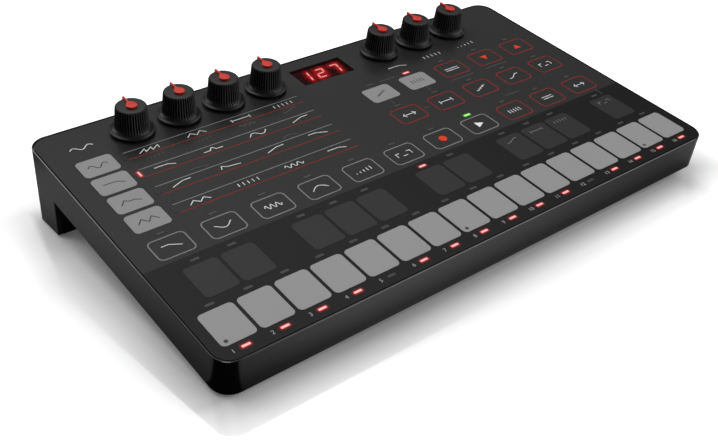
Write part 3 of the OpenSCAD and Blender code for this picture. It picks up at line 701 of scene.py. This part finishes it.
def make_lamps():
    """Lit lamps with a bright core and a glow round them, and unlit ones."""
    step_off = (4, 11)
    core_t = LAMP_T + PRINT_T
    core_grow, row_grow, row_core_grow, row_cover_grow = -0.22, -0.1, -0.35, 0.1
    steps = [(u, STEP_V) for u in light_u]
    dark_lamp_v = DARK_V + DARK_L / 2 + KEY_LAMP_GAP
    keys = [(u, LIGHT_V + LIGHT_L / 2 + KEY_LAMP_GAP) for u in light_u] + [(u, dark_lamp_v) for u in dark_u]
    buttons = [(u, ROW_V[0] + LAMP_RISE) for u in column_u]
    buttons += [(column_u[k], ROW_V[r] + LAMP_RISE) for r in (1, 2) for k in range(6, 11)]
    lit_key = (0.0, dark_lamp_v)
    lit_button = (column_u[7], ROW_V[2] + LAMP_RISE)
    green_button = (column_u[7], ROW_V[0] + LAMP_RISE)
    groups = {
        "step_lamps": ([p for i, p in enumerate(steps) if i not in step_off], [steps[i] for i in step_off]),
        "key_lamps": ([lit_key], [p for p in keys if p != lit_key]),
        "button_lamps": ([lit_button], [p for p in buttons if p not in (lit_button, green_button)]),
    }
    for node, (lit, dark) in groups.items():
        make_plates(node + "_lit", lamp_outlines(lit), LAMP_T, lamp_red, [node])
        make_plates(node + "_core", lamp_outlines(lit, grow=core_grow), core_t, lamp_core)
        make_plates(node + "_unlit", lamp_outlines(dark), LAMP_T, lamp_dark, [node])
        make_halos(node + "_glow", lit, panel_halo if node == "button_lamps" else zone_halo)
    rows = [(ROW_LAMP_U, v) for v in PAD_V]
    lit = [rows.pop(2)]
    outlines = lamp_outlines(lit, True, row_grow)
    make_plates("row_lamp_lit", outlines, LAMP_T, lamp_red, ["row_lamps"])
    make_plates("row_lamp_core", lamp_outlines(lit, True, row_core_grow), core_t, lamp_core)
    make_halos("row_lamp_glow", lit, panel_halo, upright=True)
    outlines = lamp_outlines(rows, True, row_cover_grow)
    make_plates("row_lamps_unlit", outlines, LAMP_T, lamp_faint, ["row_lamps"])
    lit = [green_button]
    make_plates("green_lamp", lamp_outlines(lit), LAMP_T, lamp_green, ["button_lamps"])
    make_plates("green_lamp_core", lamp_outlines(lit, grow=core_grow), core_t, lamp_green_core)
    make_halos("green_lamp_glow", lit, green_halo)


# Printed marks

def wave(w, h, cycles, steps=14):
    """A sine line of that width and height about its own middle."""
    count = int(steps * cycles)
    turn = 2 * math.pi * cycles
    return [(-w / 2 + w * i / count, h / 2 * math.sin(turn * i / count)) for i in range(count + 1)]


STROKE = 0.42


def mark_lines(kind, w, h):
    """The lines of a mark of that width and height, about its own middle."""
    x, y = w / 2, h / 2
    bowl = [(x * (i / 5 - 1) * 0.9, y - h * math.sin(math.pi * i / 10)) for i in range(1, 11)]
    shapes = {
        "sine": [wave(w, h, 1.5)],
        "fast_sine": [wave(w, h, 3, 10)],
        "saw": [[(-x, -y), (-x / 3, y), (-x / 3, -y), (x / 3, y), (x / 3, -y), (x, y), (x, -y)]],
        "triangle": [[(-x, -y), (-x / 2, y), (0, -y), (x / 2, y), (x, -y)]],
        "steps": [[(-x, -y), (-x / 2, -y), (-x / 2, -y / 3), (0, -y / 3),
                   (0, y / 3), (x / 2, y / 3), (x / 2, y), (x, y)]],
        "low_pass": [[(-x, y * 0.5), (x * 0.1, y * 0.5), (x * 0.4, y * 0.3), (x, -y)]],
        "peak": [[(-x, -y * 0.6), (-x * 0.3, -y * 0.5), (-x * 0.08, y),
                  (x * 0.08, y), (x * 0.3, -y * 0.5), (x, -y * 0.6)]],
        "clipped": [[(-x, -y), (-x * 0.6, y), (-x * 0.25, y), (x * 0.25, -y), (x * 0.6, -y), (x, y)]],
        "envelope": [[(-x, -y), (-x * 0.5, y), (-x * 0.1, y * 0.1), (x * 0.45, y * 0.1), (x, -y)]],
        "rise": [[(-x, -y), (x * 0.2, y), (x, y)]],
        "fall": [[(-x, y), (-x * 0.2, y), (x, -y)]],
        "decay": [[(-x, -y), (-x * 0.8, y), (-x * 0.3, -y * 0.3), (x, -y)]],
        "scoop": [[(-x, y), *bowl, (x, y)]],
        "hump": [[(-x + w * i / 12, -y + h * math.sin(math.pi * i / 12)) for i in range(13)]],
        "arrows": [[(-x, 0), (x, 0)], [(-x * 0.6, y), (-x, 0), (-x * 0.6, -y)],
                   [(x * 0.6, y), (x, 0), (x * 0.6, -y)]],
        "range": [[(-x, y), (-x, -y)], [(x, y), (x, -y)], [(-x, 0), (x, 0)]],
        "slide": [[(-x, -y), (-x * 0.5, -y), (x * 0.5, y), (x, y)]],
        "bars": [[(-x + w * i / 4, -y), (-x + w * i / 4, -y + h * (i + 1) / 5)] for i in range(5)],
        "ticks": [[(-x + w * i / 4, -y), (-x + w * i / 4, y)] for i in range(5)],
        "sliders": [[(-x, y * 0.6), (x, y * 0.6)], [(-x, -y * 0.6), (x, -y * 0.6)],
                    [(x * 0.3, y), (x * 0.3, y * 0.2)], [(-x * 0.3, -y), (-x * 0.3, -y * 0.2)]],
        "hold": [[(-x, -y), (-x, y), (-x * 0.5, y)], [(x, -y), (x, y), (x * 0.5, y)],
                 [(-x * 0.3, -y), (x * 0.3, -y)]],
        "dash": [[(-x, 0), (x, 0)]],
    }
    return shapes[kind]


def marks(places, stroke=STROKE):
    """Outlines of marks, from (kind, u, v, width, height)."""
    outlines = []
    for kind, u, v, w, h in places:
        for points in mark_lines(kind, w, h):
            outlines.append(ribbon([(u + a, v + b) for a, b in points], stroke))
    return outlines


def button_ring(k, row):
    """Outer and inner outline of a printed button."""
    place = column_u[k], ROW_V[row]
    outer = rounded_rect(BUTTON_W, BUTTON_L, BUTTON_R, *place)
    w, l = BUTTON_W - 2 * BUTTON_LINE, BUTTON_L - 2 * BUTTON_LINE
    return outer, rounded_rect(w, l, BUTTON_R - BUTTON_LINE, *place)


def make_marks():
    """Rules, outlines of buttons, and plain marks in the place of words."""
    columns = (-88.8, -66.7, -44.6, -22.8)
    rule_from, rule_to, rule_t = -99.0, -13.5, 0.4
    grey_rules = (46.7, 33.6, 20.6, 7.4)
    red_rules = (41.6, 28.2, 14.9, 1.8)
    title_v, knob_mark_v, sub_v, low_sub_v, key_mark_v = 58.6, 44.0, 39.0, 22.8, -30.1
    dim_stroke, pad_stroke, key_stroke = 0.4, 0.5, 0.45
    record_r, dot_r, dot_left, dot_up = 1.9, 0.8, 4.6, 2.0

    def rules(levels):
        return [bar(rule_from, v - rule_t / 2, rule_to, v + rule_t / 2) for v in levels]

    def on_buttons(kinds, row, w):
        return [(kind, column_u[k], ROW_V[row], w, 2.4) for k, kind in kinds]

    grid = (("saw", "triangle", "range", "ticks"), ("low_pass", "peak", "clipped", "rise"),
            ("rise", "decay", "rise", "fall"), ("triangle", "ticks", "fast_sine", "low_pass"))
    white = []
    for r, row in enumerate(grid):
        white += [(kind, u, PAD_V[3 - r] + 0.1, 9.0, 2.0) for kind, u in zip(row, columns)]
    white += on_buttons(enumerate(("fall", "scoop", "fast_sine", "hump", "bars", "hold")), 0, 7.5)
    white += on_buttons(enumerate(("ticks", "sliders", "arrows"), 8), 0, 6.5)
    white += on_buttons(enumerate(("arrows", "range", "steps", "slide", "hold"), 6), 1, 7.0)
    white += on_buttons([(8, "sliders")], 2, 8.0)
    white += [("sine", column_u[0], title_v, 10.0, 2.2)]
    knob_kinds = ("low_pass", "ticks", "bars")
    white += [(kind, column_u[7 + i], knob_mark_v, 10.0, 2.0) for i, kind in enumerate(knob_kinds)]
    dim = [(kind, u, sub_v, 7.5, 1.5) for kind, u in zip(("bars", "bars", "fast_sine", "slide"), columns)]
    dim += [("low_pass", -77.9, low_sub_v, 8.0, 1.4), ("hump", -34.0, low_sub_v, 8.0, 1.4)]
    dashes = ((75.0, -2.0, 9.0), (22.0, 37.4, 4.0), (31.5, 37.4, 9.0), (65.0, 21.0, 14.0), (87.0, 21.0, 14.0),
              (32.0, 9.5, 3.0))
    dim += [("dash", u, v, w, 1.0) for u, v, w in dashes]
    make_print("white_marks", print_white, marks(white))
    make_print("play_symbol", print_bright, [play_outline()])
    make_print("dim_marks", print_dim, marks(dim, dim_stroke) + short_links())
    make_print("grey_lines", print_grey, rules(grey_rules), [button_ring(k, 0) for k in range(8)])
    red_buttons = [(8, 0), (9, 0), (10, 0)] + [(k, 1) for k in range(6, 11)] + [(8, 2), (9, 2), (10, 2)]
    make_print("red_lines", print_red, rules(red_rules), [button_ring(k, row) for k, row in red_buttons])
    symbols = [disc(record_r, column_u[6], ROW_V[0]), arrow_outline(9, -1), arrow_outline(10, 1)]
    make_print("red_symbols", print_bright_red, symbols)
    pad_kinds = ("sine", "low_pass", "envelope", "triangle")
    pads = [(kind, column_u[0], PAD_V[3 - i], 8.5, 2.6) for i, kind in enumerate(pad_kinds)]
    pads += on_buttons(enumerate(("steps", "ticks"), 6), 2, 6.5)
    make_print("pad_marks", print_ink, marks(pads, pad_stroke), level=KEY_T)
    key_kinds = ("slide", "range", "ticks", "hold")
    keys = [(kind, dark_u[7 + i], key_mark_v, 7.0, 1.7) for i, kind in enumerate(key_kinds)]
    make_print("key_marks", print_soft, marks(keys, key_stroke), level=KEY_T)
    dot_v = LIGHT_V - LIGHT_L / 2 + dot_up
    dots = [disc(dot_r, light_u[i] - dot_left, dot_v) for i in range(0, KEY_COUNT, OCTAVE)]
    make_print("octave_dots", print_ink, dots, level=KEY_T)


def play_outline():
    """A triangle that points to the right."""
    u, v, r = column_u[7], ROW_V[0], 2.2
    return [(u - r * 0.8, v - r * 0.9), (u + r, v), (u - r * 0.8, v + r * 0.9)]


def arrow_outline(k, way):
    """A triangle that points up the slope or down."""
    u, v, r = column_u[k], ROW_V[2], 2.1
    points = [(u - r, v - way * r * 0.75), (u + r, v - way * r * 0.75), (u, v + way * r * 0.85)]
    return points if way > 0 else points[::-1]


def short_links():
    """Short upright strokes that tie pairs of buttons together."""
    half, pad_v, key_u, key_v = 0.2, (19.8, 22.6), 113.0, (-25.0, -20.0)
    places = [(column_u[6], *pad_v), (column_u[7], *pad_v), (key_u, *key_v)]
    return [bar(u - half, low_v, u + half, high_v) for u, low_v, high_v in places]


def make_numbers():
    """Step numbers beside the step lamps."""
    size, left, down = 2.6, 5.0, 1.0
    bm = bmesh.new()
    for i, u in enumerate(light_u):
        curve = bpy.data.curves.new("number", "FONT")
        curve.body = str(i + 1)
        curve.size = size
        curve.extrude = PRINT_T
        curve.align_x = "CENTER"
        holder = new_object("number", curve)
        mesh = evaluated_mesh(holder)
        mesh.transform(Matrix.Translation((u - left, STEP_V - down, FACE + 2 * PRINT_T)))
        bm.from_mesh(mesh)
        bpy.data.objects.remove(holder)
        bpy.data.meshes.remove(mesh)
    piece("step_numbers", bm, print_pale)


# Display

LIT_SEGMENTS = {"1": "bc", "2": "abged", "7": "abc"}
DIGIT_W = 5.2
DIGIT_H = 7.6
DIGIT_PITCH = 8.4
DIGIT_SHIFT = 0.3
DIGIT_LEAN = 0.14
SEGMENT_W = 1.15
SEGMENT_GAP = 0.14
DISPLAY_SINK = 0.3
GLOW_T = 0.02
GLOW_STEP = 0.4
GLOW_REACH = 1.5
GLOW_MOST = 1.6


def segment_bars():
    """The seven bars of a digit about its middle, by letter."""
    x, y, s, gap = DIGIT_W / 2, DIGIT_H / 2, SEGMENT_W, SEGMENT_GAP
    end_share = 0.55
    reach = x - s * end_share - gap
    return {
        "a": (-reach, y - s, reach, y), "g": (-reach, -s / 2, reach, s / 2), "d": (-reach, -y, reach, -y + s),
        "f": (-x, gap, -x + s, y - gap), "b": (x - s, gap, x, y - gap),
        "e": (-x, -y + gap, -x + s, -gap), "c": (x - s, -y + gap, x, -gap),
    }


def segment_outline(box, middle, grow=0.0):
    """A bar of a digit with pointed ends, leaning with the digit."""
    u0, v0, u1, v1 = box[0] - grow, box[1] - grow, box[2] + grow, box[3] + grow
    uc, vc = (u0 + u1) / 2, (v0 + v1) / 2
    tip_share = 0.4
    inset = min(u1 - u0, v1 - v0) * tip_share
    if u1 - u0 > v1 - v0:
        shape = [(u0, vc), (u0 + inset, v0), (u1 - inset, v0), (u1, vc), (u1 - inset, v1), (u0 + inset, v1)]
    else:
        shape = [(uc, v0), (u1, v0 + inset), (u1, v1 - inset), (uc, v1), (u0, v1 - inset), (u0, v0 + inset)]
    return [(middle + a + DIGIT_LEAN * b, KNOB_V + b) for a, b in shape]


def glow_at(here, lit_lines):
    """Light that falls on a place from the lit bars near it."""
    light = 0.0
    for a, b in lit_lines:
        a, b = Vector(a), Vector(b)
        t = max(0.0, min(1.0, (here - a).dot(b - a) / (b - a).length_squared))
        light += math.exp(-((here - a - (b - a) * t).length / GLOW_REACH) ** 2)
    return min(light, GLOW_MOST)


def make_glow_plate(lit_lines, w, l, level):
    """The display's face, red where a lit bar is near."""
    bm = bmesh.new()
    layer = bm.verts.layers.float.new(GLOW)
    across_count, along_count = round(w / GLOW_STEP), round(l / GLOW_STEP)
    grid = []
    for i in range(along_count + 1):
        row = []
        for k in range(across_count + 1):
            here = Vector((DISPLAY_U - w / 2 + w * k / across_count, KNOB_V - l / 2 + l * i / along_count))
            vert = bm.verts.new((here.x, here.y, level))
            vert[layer] = glow_at(here, lit_lines)
            row.append(vert)
        grid.append(row)
    for low_row, high_row in zip(grid, grid[1:]):
        for k in range(across_count):
            bm.faces.new((low_row[k], low_row[k + 1], high_row[k + 1], high_row[k]))
    lifted = bmesh.ops.extrude_face_region(bm, geom=bm.faces[:])["geom"]
    for element in lifted:
        if isinstance(element, bmesh.types.BMVert):
            element.co.z += GLOW_T
    piece("display_glow", bm, module_glow)


def make_display():
    """The digits, the glow round them, and the window with its edge."""
    level = PLATE_TOP - DISPLAY_SINK
    core_inset, caught, glow_margin = 0.27, 0.8, 2.2
    edge, shift, soft = 0.4, 0.1, 0.04
    lit, core, dark, lines = [], [], [], []
    for i, digit in enumerate("127"):
        middle = DISPLAY_U + (i - 1) * DIGIT_PITCH - DIGIT_SHIFT
        for letter, box in segment_bars().items():
            outline = segment_outline(box, middle)
            if letter not in LIT_SEGMENTS[digit]:
                dark.append(outline)
                continue
            lit.append(outline)
            core.append(segment_outline(box, middle, -core_inset))
            lines.append((outline[0], outline[3]))
    for name, outlines, material, thick in (("segments_lit", lit, segment_lit, 0.12),
                                            ("segments_core", core, segment_core, 0.15),
                                            ("segments_dark", dark, module_glow, 0.06)):
        bm = bmesh.new()
        layer = bm.verts.layers.float.new(GLOW)
        for outline in outlines:
            add_prism(bm, outline, level, level + thick)
        for vert in bm.verts:
            vert[layer] = caught * glow_at(vert.co.xy, lines)
        piece(name, bm, material, ["display_segments"])
    make_glow_plate(lines, DISPLAY_W - glow_margin, DISPLAY_L - glow_margin, level)
    place = DISPLAY_U + shift, KNOB_V - shift
    window = rounded_rect(DISPLAY_W - edge, DISPLAY_L - edge, DISPLAY_R, *place, steps=6)
    around = rounded_rect(DISPLAY_W + edge, DISPLAY_L + edge, DISPLAY_R, DISPLAY_U, KNOB_V, steps=6)
    obj = flat_solid(window, PLATE_TOP + CLEAR, FACE)
    bevel(obj, soft, 2)
    piece("display_glass", finished(obj), window_red, ["display_window"])
    bm = bmesh.new()
    add_ring(bm, around, window, PLATE_TOP + CLEAR, FACE + PROUD)
    piece("display_frame", bm, overlay_grey)


# Knobs

FLUTES = 40
PER_FLUTE = 12
FLUTE_DEPTH = 0.45
FLUTE_SHARE = 0.7
KNOB_TOP = 12.4
CAP_R = 6.6


def knob_rings():
    """Rings of a knob from its underside to its cap, as (radius, level, depth of flutes)."""
    lift, rim, skirt_r, body_r, flare_top, edge = 0.9, 0.7, 9.4, 7.15, 4.6, 0.9
    bore_r, bore_h, cap_rings = 3.2, 0.5, (4.5, 2.0)
    steps, edge_steps, plain_share = 8, 6, 0.4
    round_r = rim / 2
    rings = [(bore_r, lift + bore_h, 0), (bore_r, lift, 0), (skirt_r - rim, lift, 0)]
    for i in range(steps + 1):
        a = math.pi * (i / steps - 0.5)
        rings.append((skirt_r - round_r + round_r * math.cos(a), lift + round_r + round_r * math.sin(a), 0))
    flare_low = lift + rim
    flare_r = skirt_r - round_r
    for i in range(1, steps + 1):
        a = math.pi / 2 * i / steps
        level = flare_top - (flare_top - flare_low) * math.cos(a)
        run_out = max(0.0, (i / steps - plain_share) / (1 - plain_share))
        depth = FLUTE_DEPTH * run_out * run_out * (3 - 2 * run_out)
        rings.append((body_r + (flare_r - body_r) * (1 - math.sin(a)), level, depth))
    body_top = KNOB_TOP - edge
    for i in range(1, steps + 1):
        t = i / steps
        rings.append((body_r + (CAP_R - body_r) * t, flare_top + (body_top - flare_top) * t, FLUTE_DEPTH))
    for i in range(1, edge_steps + 1):
        t = i / edge_steps
        a = math.pi / 2 * i / edge_steps
        rings.append((CAP_R - edge * (1 - math.cos(a)), body_top + edge * math.sin(a), FLUTE_DEPTH * (1 - t)))
    return rings + [(r, KNOB_TOP, 0) for r in cap_rings]


def groove(k):
    """How deep a point round the knob lies in its flute, from 0 on a ridge to 1."""
    t = abs((k / PER_FLUTE) % 1.0 - 0.5) * 2 / FLUTE_SHARE
    return math.sqrt(1 - t * t) if t < 1 else 0.0


def make_knob(i):
    """A fluted knob with its pointer."""
    plain_gloss, shaded_flute_gloss = 0.3, 0.08
    body = f"dial_{i}"
    u = node_centre(f"shaft_{i}").x
    count = FLUTES * PER_FLUTE
    bm = bmesh.new()
    ridge = bm.verts.layers.float.new(RIDGE_HIGHLIGHT)
    gloss = bm.verts.layers.float.new(GLOSS_AND_FLUTE_SHADE)
    loops = []
    for r, n, depth in knob_rings():
        loop = []
        for k in range(count):
            a = 2 * math.pi * k / count
            dip = groove(k)
            reach = r - depth * dip
            vert = bm.verts.new((u + reach * math.cos(a), KNOB_V + reach * math.sin(a), n))
            # The ridges' paler tone is a painted highlight, and the flutes' lower gloss is painted shade.
            vert[ridge] = (1 - dip) * depth / FLUTE_DEPTH
            vert[gloss] = plain_gloss - (plain_gloss - shaded_flute_gloss) * depth / FLUTE_DEPTH
            loop.append(vert)
        loops.append(loop)
    join_loops(bm, loops)
    bm.faces.new(loops[-1])
    bm.faces.new(loops[0][::-1])
    knob = piece(f"knob_{i}_fluted", bm, knob_black, [f"knob_{i}"], body, angle=40)
    return [knob, make_pointer(i, body, u)]


def make_pointer(i, body, u):
    """A round end at the cap's middle and a narrow tail that runs over the rim."""
    r, front, tail, rise, sink, over, soft = 2.3, 0.6, 0.42, 0.8, 0.9, 0.25, 0.15
    shoulder = math.radians(30)
    steps, neck_share = 24, 1.35
    outline = []
    for k in range(steps + 1):
        a = math.pi - shoulder + (math.pi + 2 * shoulder) * k / steps
        outline.append((u + r * math.cos(a), KNOB_V - front + r * math.sin(a)))
    neck = KNOB_V + neck_share * r - front
    end = KNOB_V + CAP_R + over
    outline += [(u + tail, neck), (u + tail, end), (u - tail, end), (u - tail, neck)]
    obj = flat_solid(outline, KNOB_TOP - sink, KNOB_TOP + rise)
    bevel(obj, soft, 4, angle=40)
    return piece(f"pointer_{i}_inlay", finished(obj), pointer_red, [f"pointer_{i}"], body)


# Finish of the nodes that stay as they are

def dress_nodes():
    """Materials for the nodes that no piece stands in for."""
    finishes = (
        (overlay_grey, ["panel_overlay"]),
        (case_black, ["bottom_cover", "battery_door"]),
        (module_face, ["display_module"]),
        (board_green, ["touch_board", "main_board"]),
        (moulding_black, ["board_link", "board_chips", "switch_lever"] + PLUG_SOCKETS),
        (can_metal, ["capacitors", "battery_cells"]),
        (plated, ["data_socket", "switch_body", "battery_contacts", "case_screws", "board_screws"]),
        (plated, [f"{part}_{i}" for part in ("pot", "shaft") for i in DIALS]),
        (rubber, ["rubber_feet"]),
    )
    for material, names in finishes:
        for name in names:
            nodes[name].data.materials.clear()
            nodes[name].data.materials.append(material)


# Stage: floor, light and camera

def eased(value, low, high, to_low=0.0, to_high=1.0):
    """A value eased from one level to another over a stretch."""
    return mapped(value, low, high, to_low, to_high, "SMOOTHSTEP")


def product(first, *others):
    """Several values multiplied."""
    for other in others:
        first = combined("MULTIPLY", first, other)
    return first


def floor_tone(x, y):
    """How pale the floor looks to the object, a painted tone that shapes the reflections in its walls: bright
    before its long walls, darker close to them as painted shade, black before its near corner.
    """
    corner_x, corner_y, soft = -0.1188, -0.0608, 0.0015
    rise = eased(x, -0.16, -0.06)
    fall = eased(x, -0.06, 0.12, 1.0, 0.3)
    before = eased(y, -0.072, -0.066, 0.93, 0.0)
    close = eased(y, -0.095, -0.078, 1.0, 1.3)
    patch = product(rise, fall, before, close)
    side = product(eased(y, -0.075, 0.03, 0.225, 0.34), eased(y, 0.045, 0.075, 1.0, 0.8),
                   eased(y, 0.1, 0.135, 1.0, 0.25), eased(x, -0.138, -0.131, 1.0, 0.7))
    rear = product(eased(y, 0.085, 0.12, 0.0, 0.6), eased(x, -0.13, -0.1))
    # Black before the near corner: a painted dark patch, there only for the corner's reflection.
    lit = combined("MAXIMUM", eased(x, corner_x - soft, corner_x + soft),
                   eased(y, corner_y - soft, corner_y + soft))
    return product(combined("ADD", combined("ADD", patch, side), rear), lit)


def beyond(value, half):
    """Square of how far a place lies outside a strip of that half width."""
    over = combined("SUBTRACT", combined("ABSOLUTE", value), half)
    over = combined("MAXIMUM", over, 0.0)
    return combined("MULTIPLY", over, over)


def axes(place):
    """The three numbers of a place or a direction."""
    split = add_node(place, "ShaderNodeSeparateXYZ")
    feed(split, {"Vector": place})
    return tuple(split.outputs)


def make_floor():
    """A white floor that keeps the shadow and a faint mirror image of the object. To the camera its emission
    is painted light by place: low near the object, so its shadow shows darker, and raised in ramps beside it.
    """
    bm = bmesh.new()
    bmesh.ops.create_grid(bm, x_segments=1, y_segments=1, size=3.0)
    mesh = bpy.data.meshes.new("floor")
    bm.to_mesh(mesh)
    bm.free()
    floor = new_object("floor", mesh)
    mat, shader, place = new_material("floor_white")
    x, y, _ = axes(place)
    outside = combined("ADD", beyond(x, CASE_W / 2 * MM), beyond(y, CASE_D / 2 * MM))
    away = combined("SQRT", outside)
    # Painted light and shade on the floor: less emission near the object deepens its shadow, and ramps to the
    # right, beside the side walls, before the front wall, outside the mirror image's edges and behind the
    # object lift the floor there.
    near = eased(away, 0.0, 0.03, 0.06, 0.45)
    right = product(eased(x, -0.1, 0.15, 0.0, 0.15), eased(away, 0.008, 0.02))
    left = product(eased(x, -0.13, -0.125, 0.1, 0.0), eased(y, -0.06, -0.01),
                   eased(y, 0.03, 0.055, 1.0, 0.0))
    front = product(eased(x, -0.13, -0.05, 0.13, 0.0), eased(y, -0.076, -0.07, 1.0, 0.0))
    beside = product(eased(x, 0.108, 0.122, 0.0, 0.26), eased(away, 0.008, 0.02, 1.0, 0.4))
    slanted = combined("SUBTRACT", x, combined("MULTIPLY", y, 0.2))
    image = product(eased(slanted, -0.1465, -0.1435, 0.18, 0.0), eased(y, 0.02, 0.055))
    image = combined("MAXIMUM", image, eased(y, 0.072, 0.082, 0.0, 0.22))
    for more in (right, left, front, beside, image):
        near = combined("ADD", near, more)
    feed(shader, {
        "Base Color": tinted(noise(place, 8.0), grey(0.86), grey(0.88)),
        "Roughness": 0.06,
        "IOR": 2.6,
        "Emission Color": (1, 1, 1, 1),
        "Emission Strength": near,
    })
    dull = add_node(shader, "ShaderNodeBsdfDiffuse")
    feed(dull, {"Color": floor_tone(x, y)})
    path = add_node(shader, "ShaderNodeLightPath")
    pick = add_node(shader, "ShaderNodeMixShader")
    feed(pick, {0: path.outputs["Is Camera Ray"], 1: dull.outputs["BSDF"], 2: shader.outputs["BSDF"]})
    feed(mat.node_tree.nodes["Material Output"], {"Surface": pick.outputs["Shader"]})
    mesh.materials.append(mat)


def area_light(name, place, size, power):
    """A rectangular lamp that looks at the model's origin."""
    data = bpy.data.lights.new(name, "AREA")
    data.shape = "RECTANGLE"
    data.size, data.size_y = size
    data.energy = power
    lamp = new_object(name, data)
    lamp.location = place
    lamp.rotation_mode = "QUATERNION"
    lamp.rotation_quaternion = (Vector() - Vector(place)).to_track_quat("-Z", "Y")
    return lamp


def flagged_light(name, place, size, power, receivers, blockers):
    """A light that is kept off everything but some pieces, and that only the blockers can shade."""
    lamp = area_light(name, place, size, power)
    for way, pieces in (("receiver_collection", receivers), ("blocker_collection", blockers)):
        group = bpy.data.collections.new(name + "_" + way)
        for obj in pieces:
            group.objects.link(obj)
        setattr(lamp.light_linking, way, group)
    return lamp


def make_world():
    """White where it is seen, a soft bright patch overhead where it is mirrored, and dim as a light."""
    world = bpy.data.worlds.new("studio")
    bpy.context.scene.world = world
    world.use_nodes = True
    background = world.node_tree.nodes["Background"]
    path = add_node(background, "ShaderNodeLightPath")
    bounced = combined("MAXIMUM", path.outputs["Is Glossy Ray"], path.outputs["Is Transmission Ray"])
    x, y, z = axes(add_node(background, "ShaderNodeTexCoord").outputs["Generated"])
    overhead = eased(z, 0.54, 0.8, 0.05, 2.4)
    rearward = eased(y, 0.0, 0.3, 0.1, 1.0)
    leftward = eased(x, -0.6, -0.2, 0.35, 1.0)
    mirrored = product(bounced, overhead, rearward, leftward)
    seen = combined("MAXIMUM", path.outputs["Is Camera Ray"], mirrored)
    least_light = 0.12
    strength = combined("MAXIMUM", seen, least_light)
    feed(background, {"Color": (1, 1, 1, 1), "Strength": strength})


def make_light(case, dials):
    """A large softbox above the rear, and smaller ones that edge the case and the knobs with light."""
    knobs = dials[::2]
    make_world()
    top = area_light("top_softbox", (0.0, 0.42, 0.92), (1.2, 1.0), 9.1)
    top.visible_glossy = False
    area_light("rear_left_softbox", (-0.62, 0.85, 0.37), (0.6, 0.3), 2.0)
    area_light("front_right_softbox", (0.65, -0.71, 0.4), (0.9, 0.22), 2.8)
    flagged_light("left_edge", (-0.75, 0.63, 0.5), (0.6, 0.3), 0.2, [case], [case])
    flagged_light("corner_edge", (-0.6, -0.6, 0.6), (0.5, 0.4), 2.4, [case], [case])
    flagged_light("knob_side", (0.75, -0.35, 0.75), (0.7, 0.5), 1.3, dials, [case])
    ridge = flagged_light("ridge_light", (0.75, -0.585, 0.31), (0.3, 0.3), 16.0, knobs, knobs)
    ridge.visible_glossy = False
    area_light("right_strip", (0.95, -0.05, 0.18), (0.5, 0.16), 0.35)
    bpy.context.scene.view_settings.view_transform = "Standard"


# The photograph's viewpoint and what its middle looks at, on the panel
CAMERA_AT = (-240.4, -253.2, 232.2)
CAMERA_TO = (-45.1, -38.5, 0.0)
FRAME_W = 718
FOCAL_PIXELS = 979.2
SENSOR = 36.0


def make_camera():
    """The camera, fitted to the photograph."""
    data = bpy.data.cameras.new("photo_view")
    data.sensor_width = SENSOR
    data.lens = FOCAL_PIXELS / FRAME_W * SENSOR
    data.clip_start = 0.01
    cam = new_object("photo_view", data)
    place, target = at(*CAMERA_AT), at(*CAMERA_TO)
    cam.location = place
    cam.rotation_mode = "QUATERNION"
    cam.rotation_quaternion = (target - place).to_track_quat("-Z", "Y")
    bpy.context.scene.camera = cam


make_camera()
case_shell = make_case()
make_border()
make_zone()
make_keys()
make_lamps()
make_marks()
make_numbers()
make_display()
dial_pieces = [obj for dial in DIALS for obj in make_knob(dial)]
dress_nodes()
make_floor()
make_light(case_shell, dial_pieces)
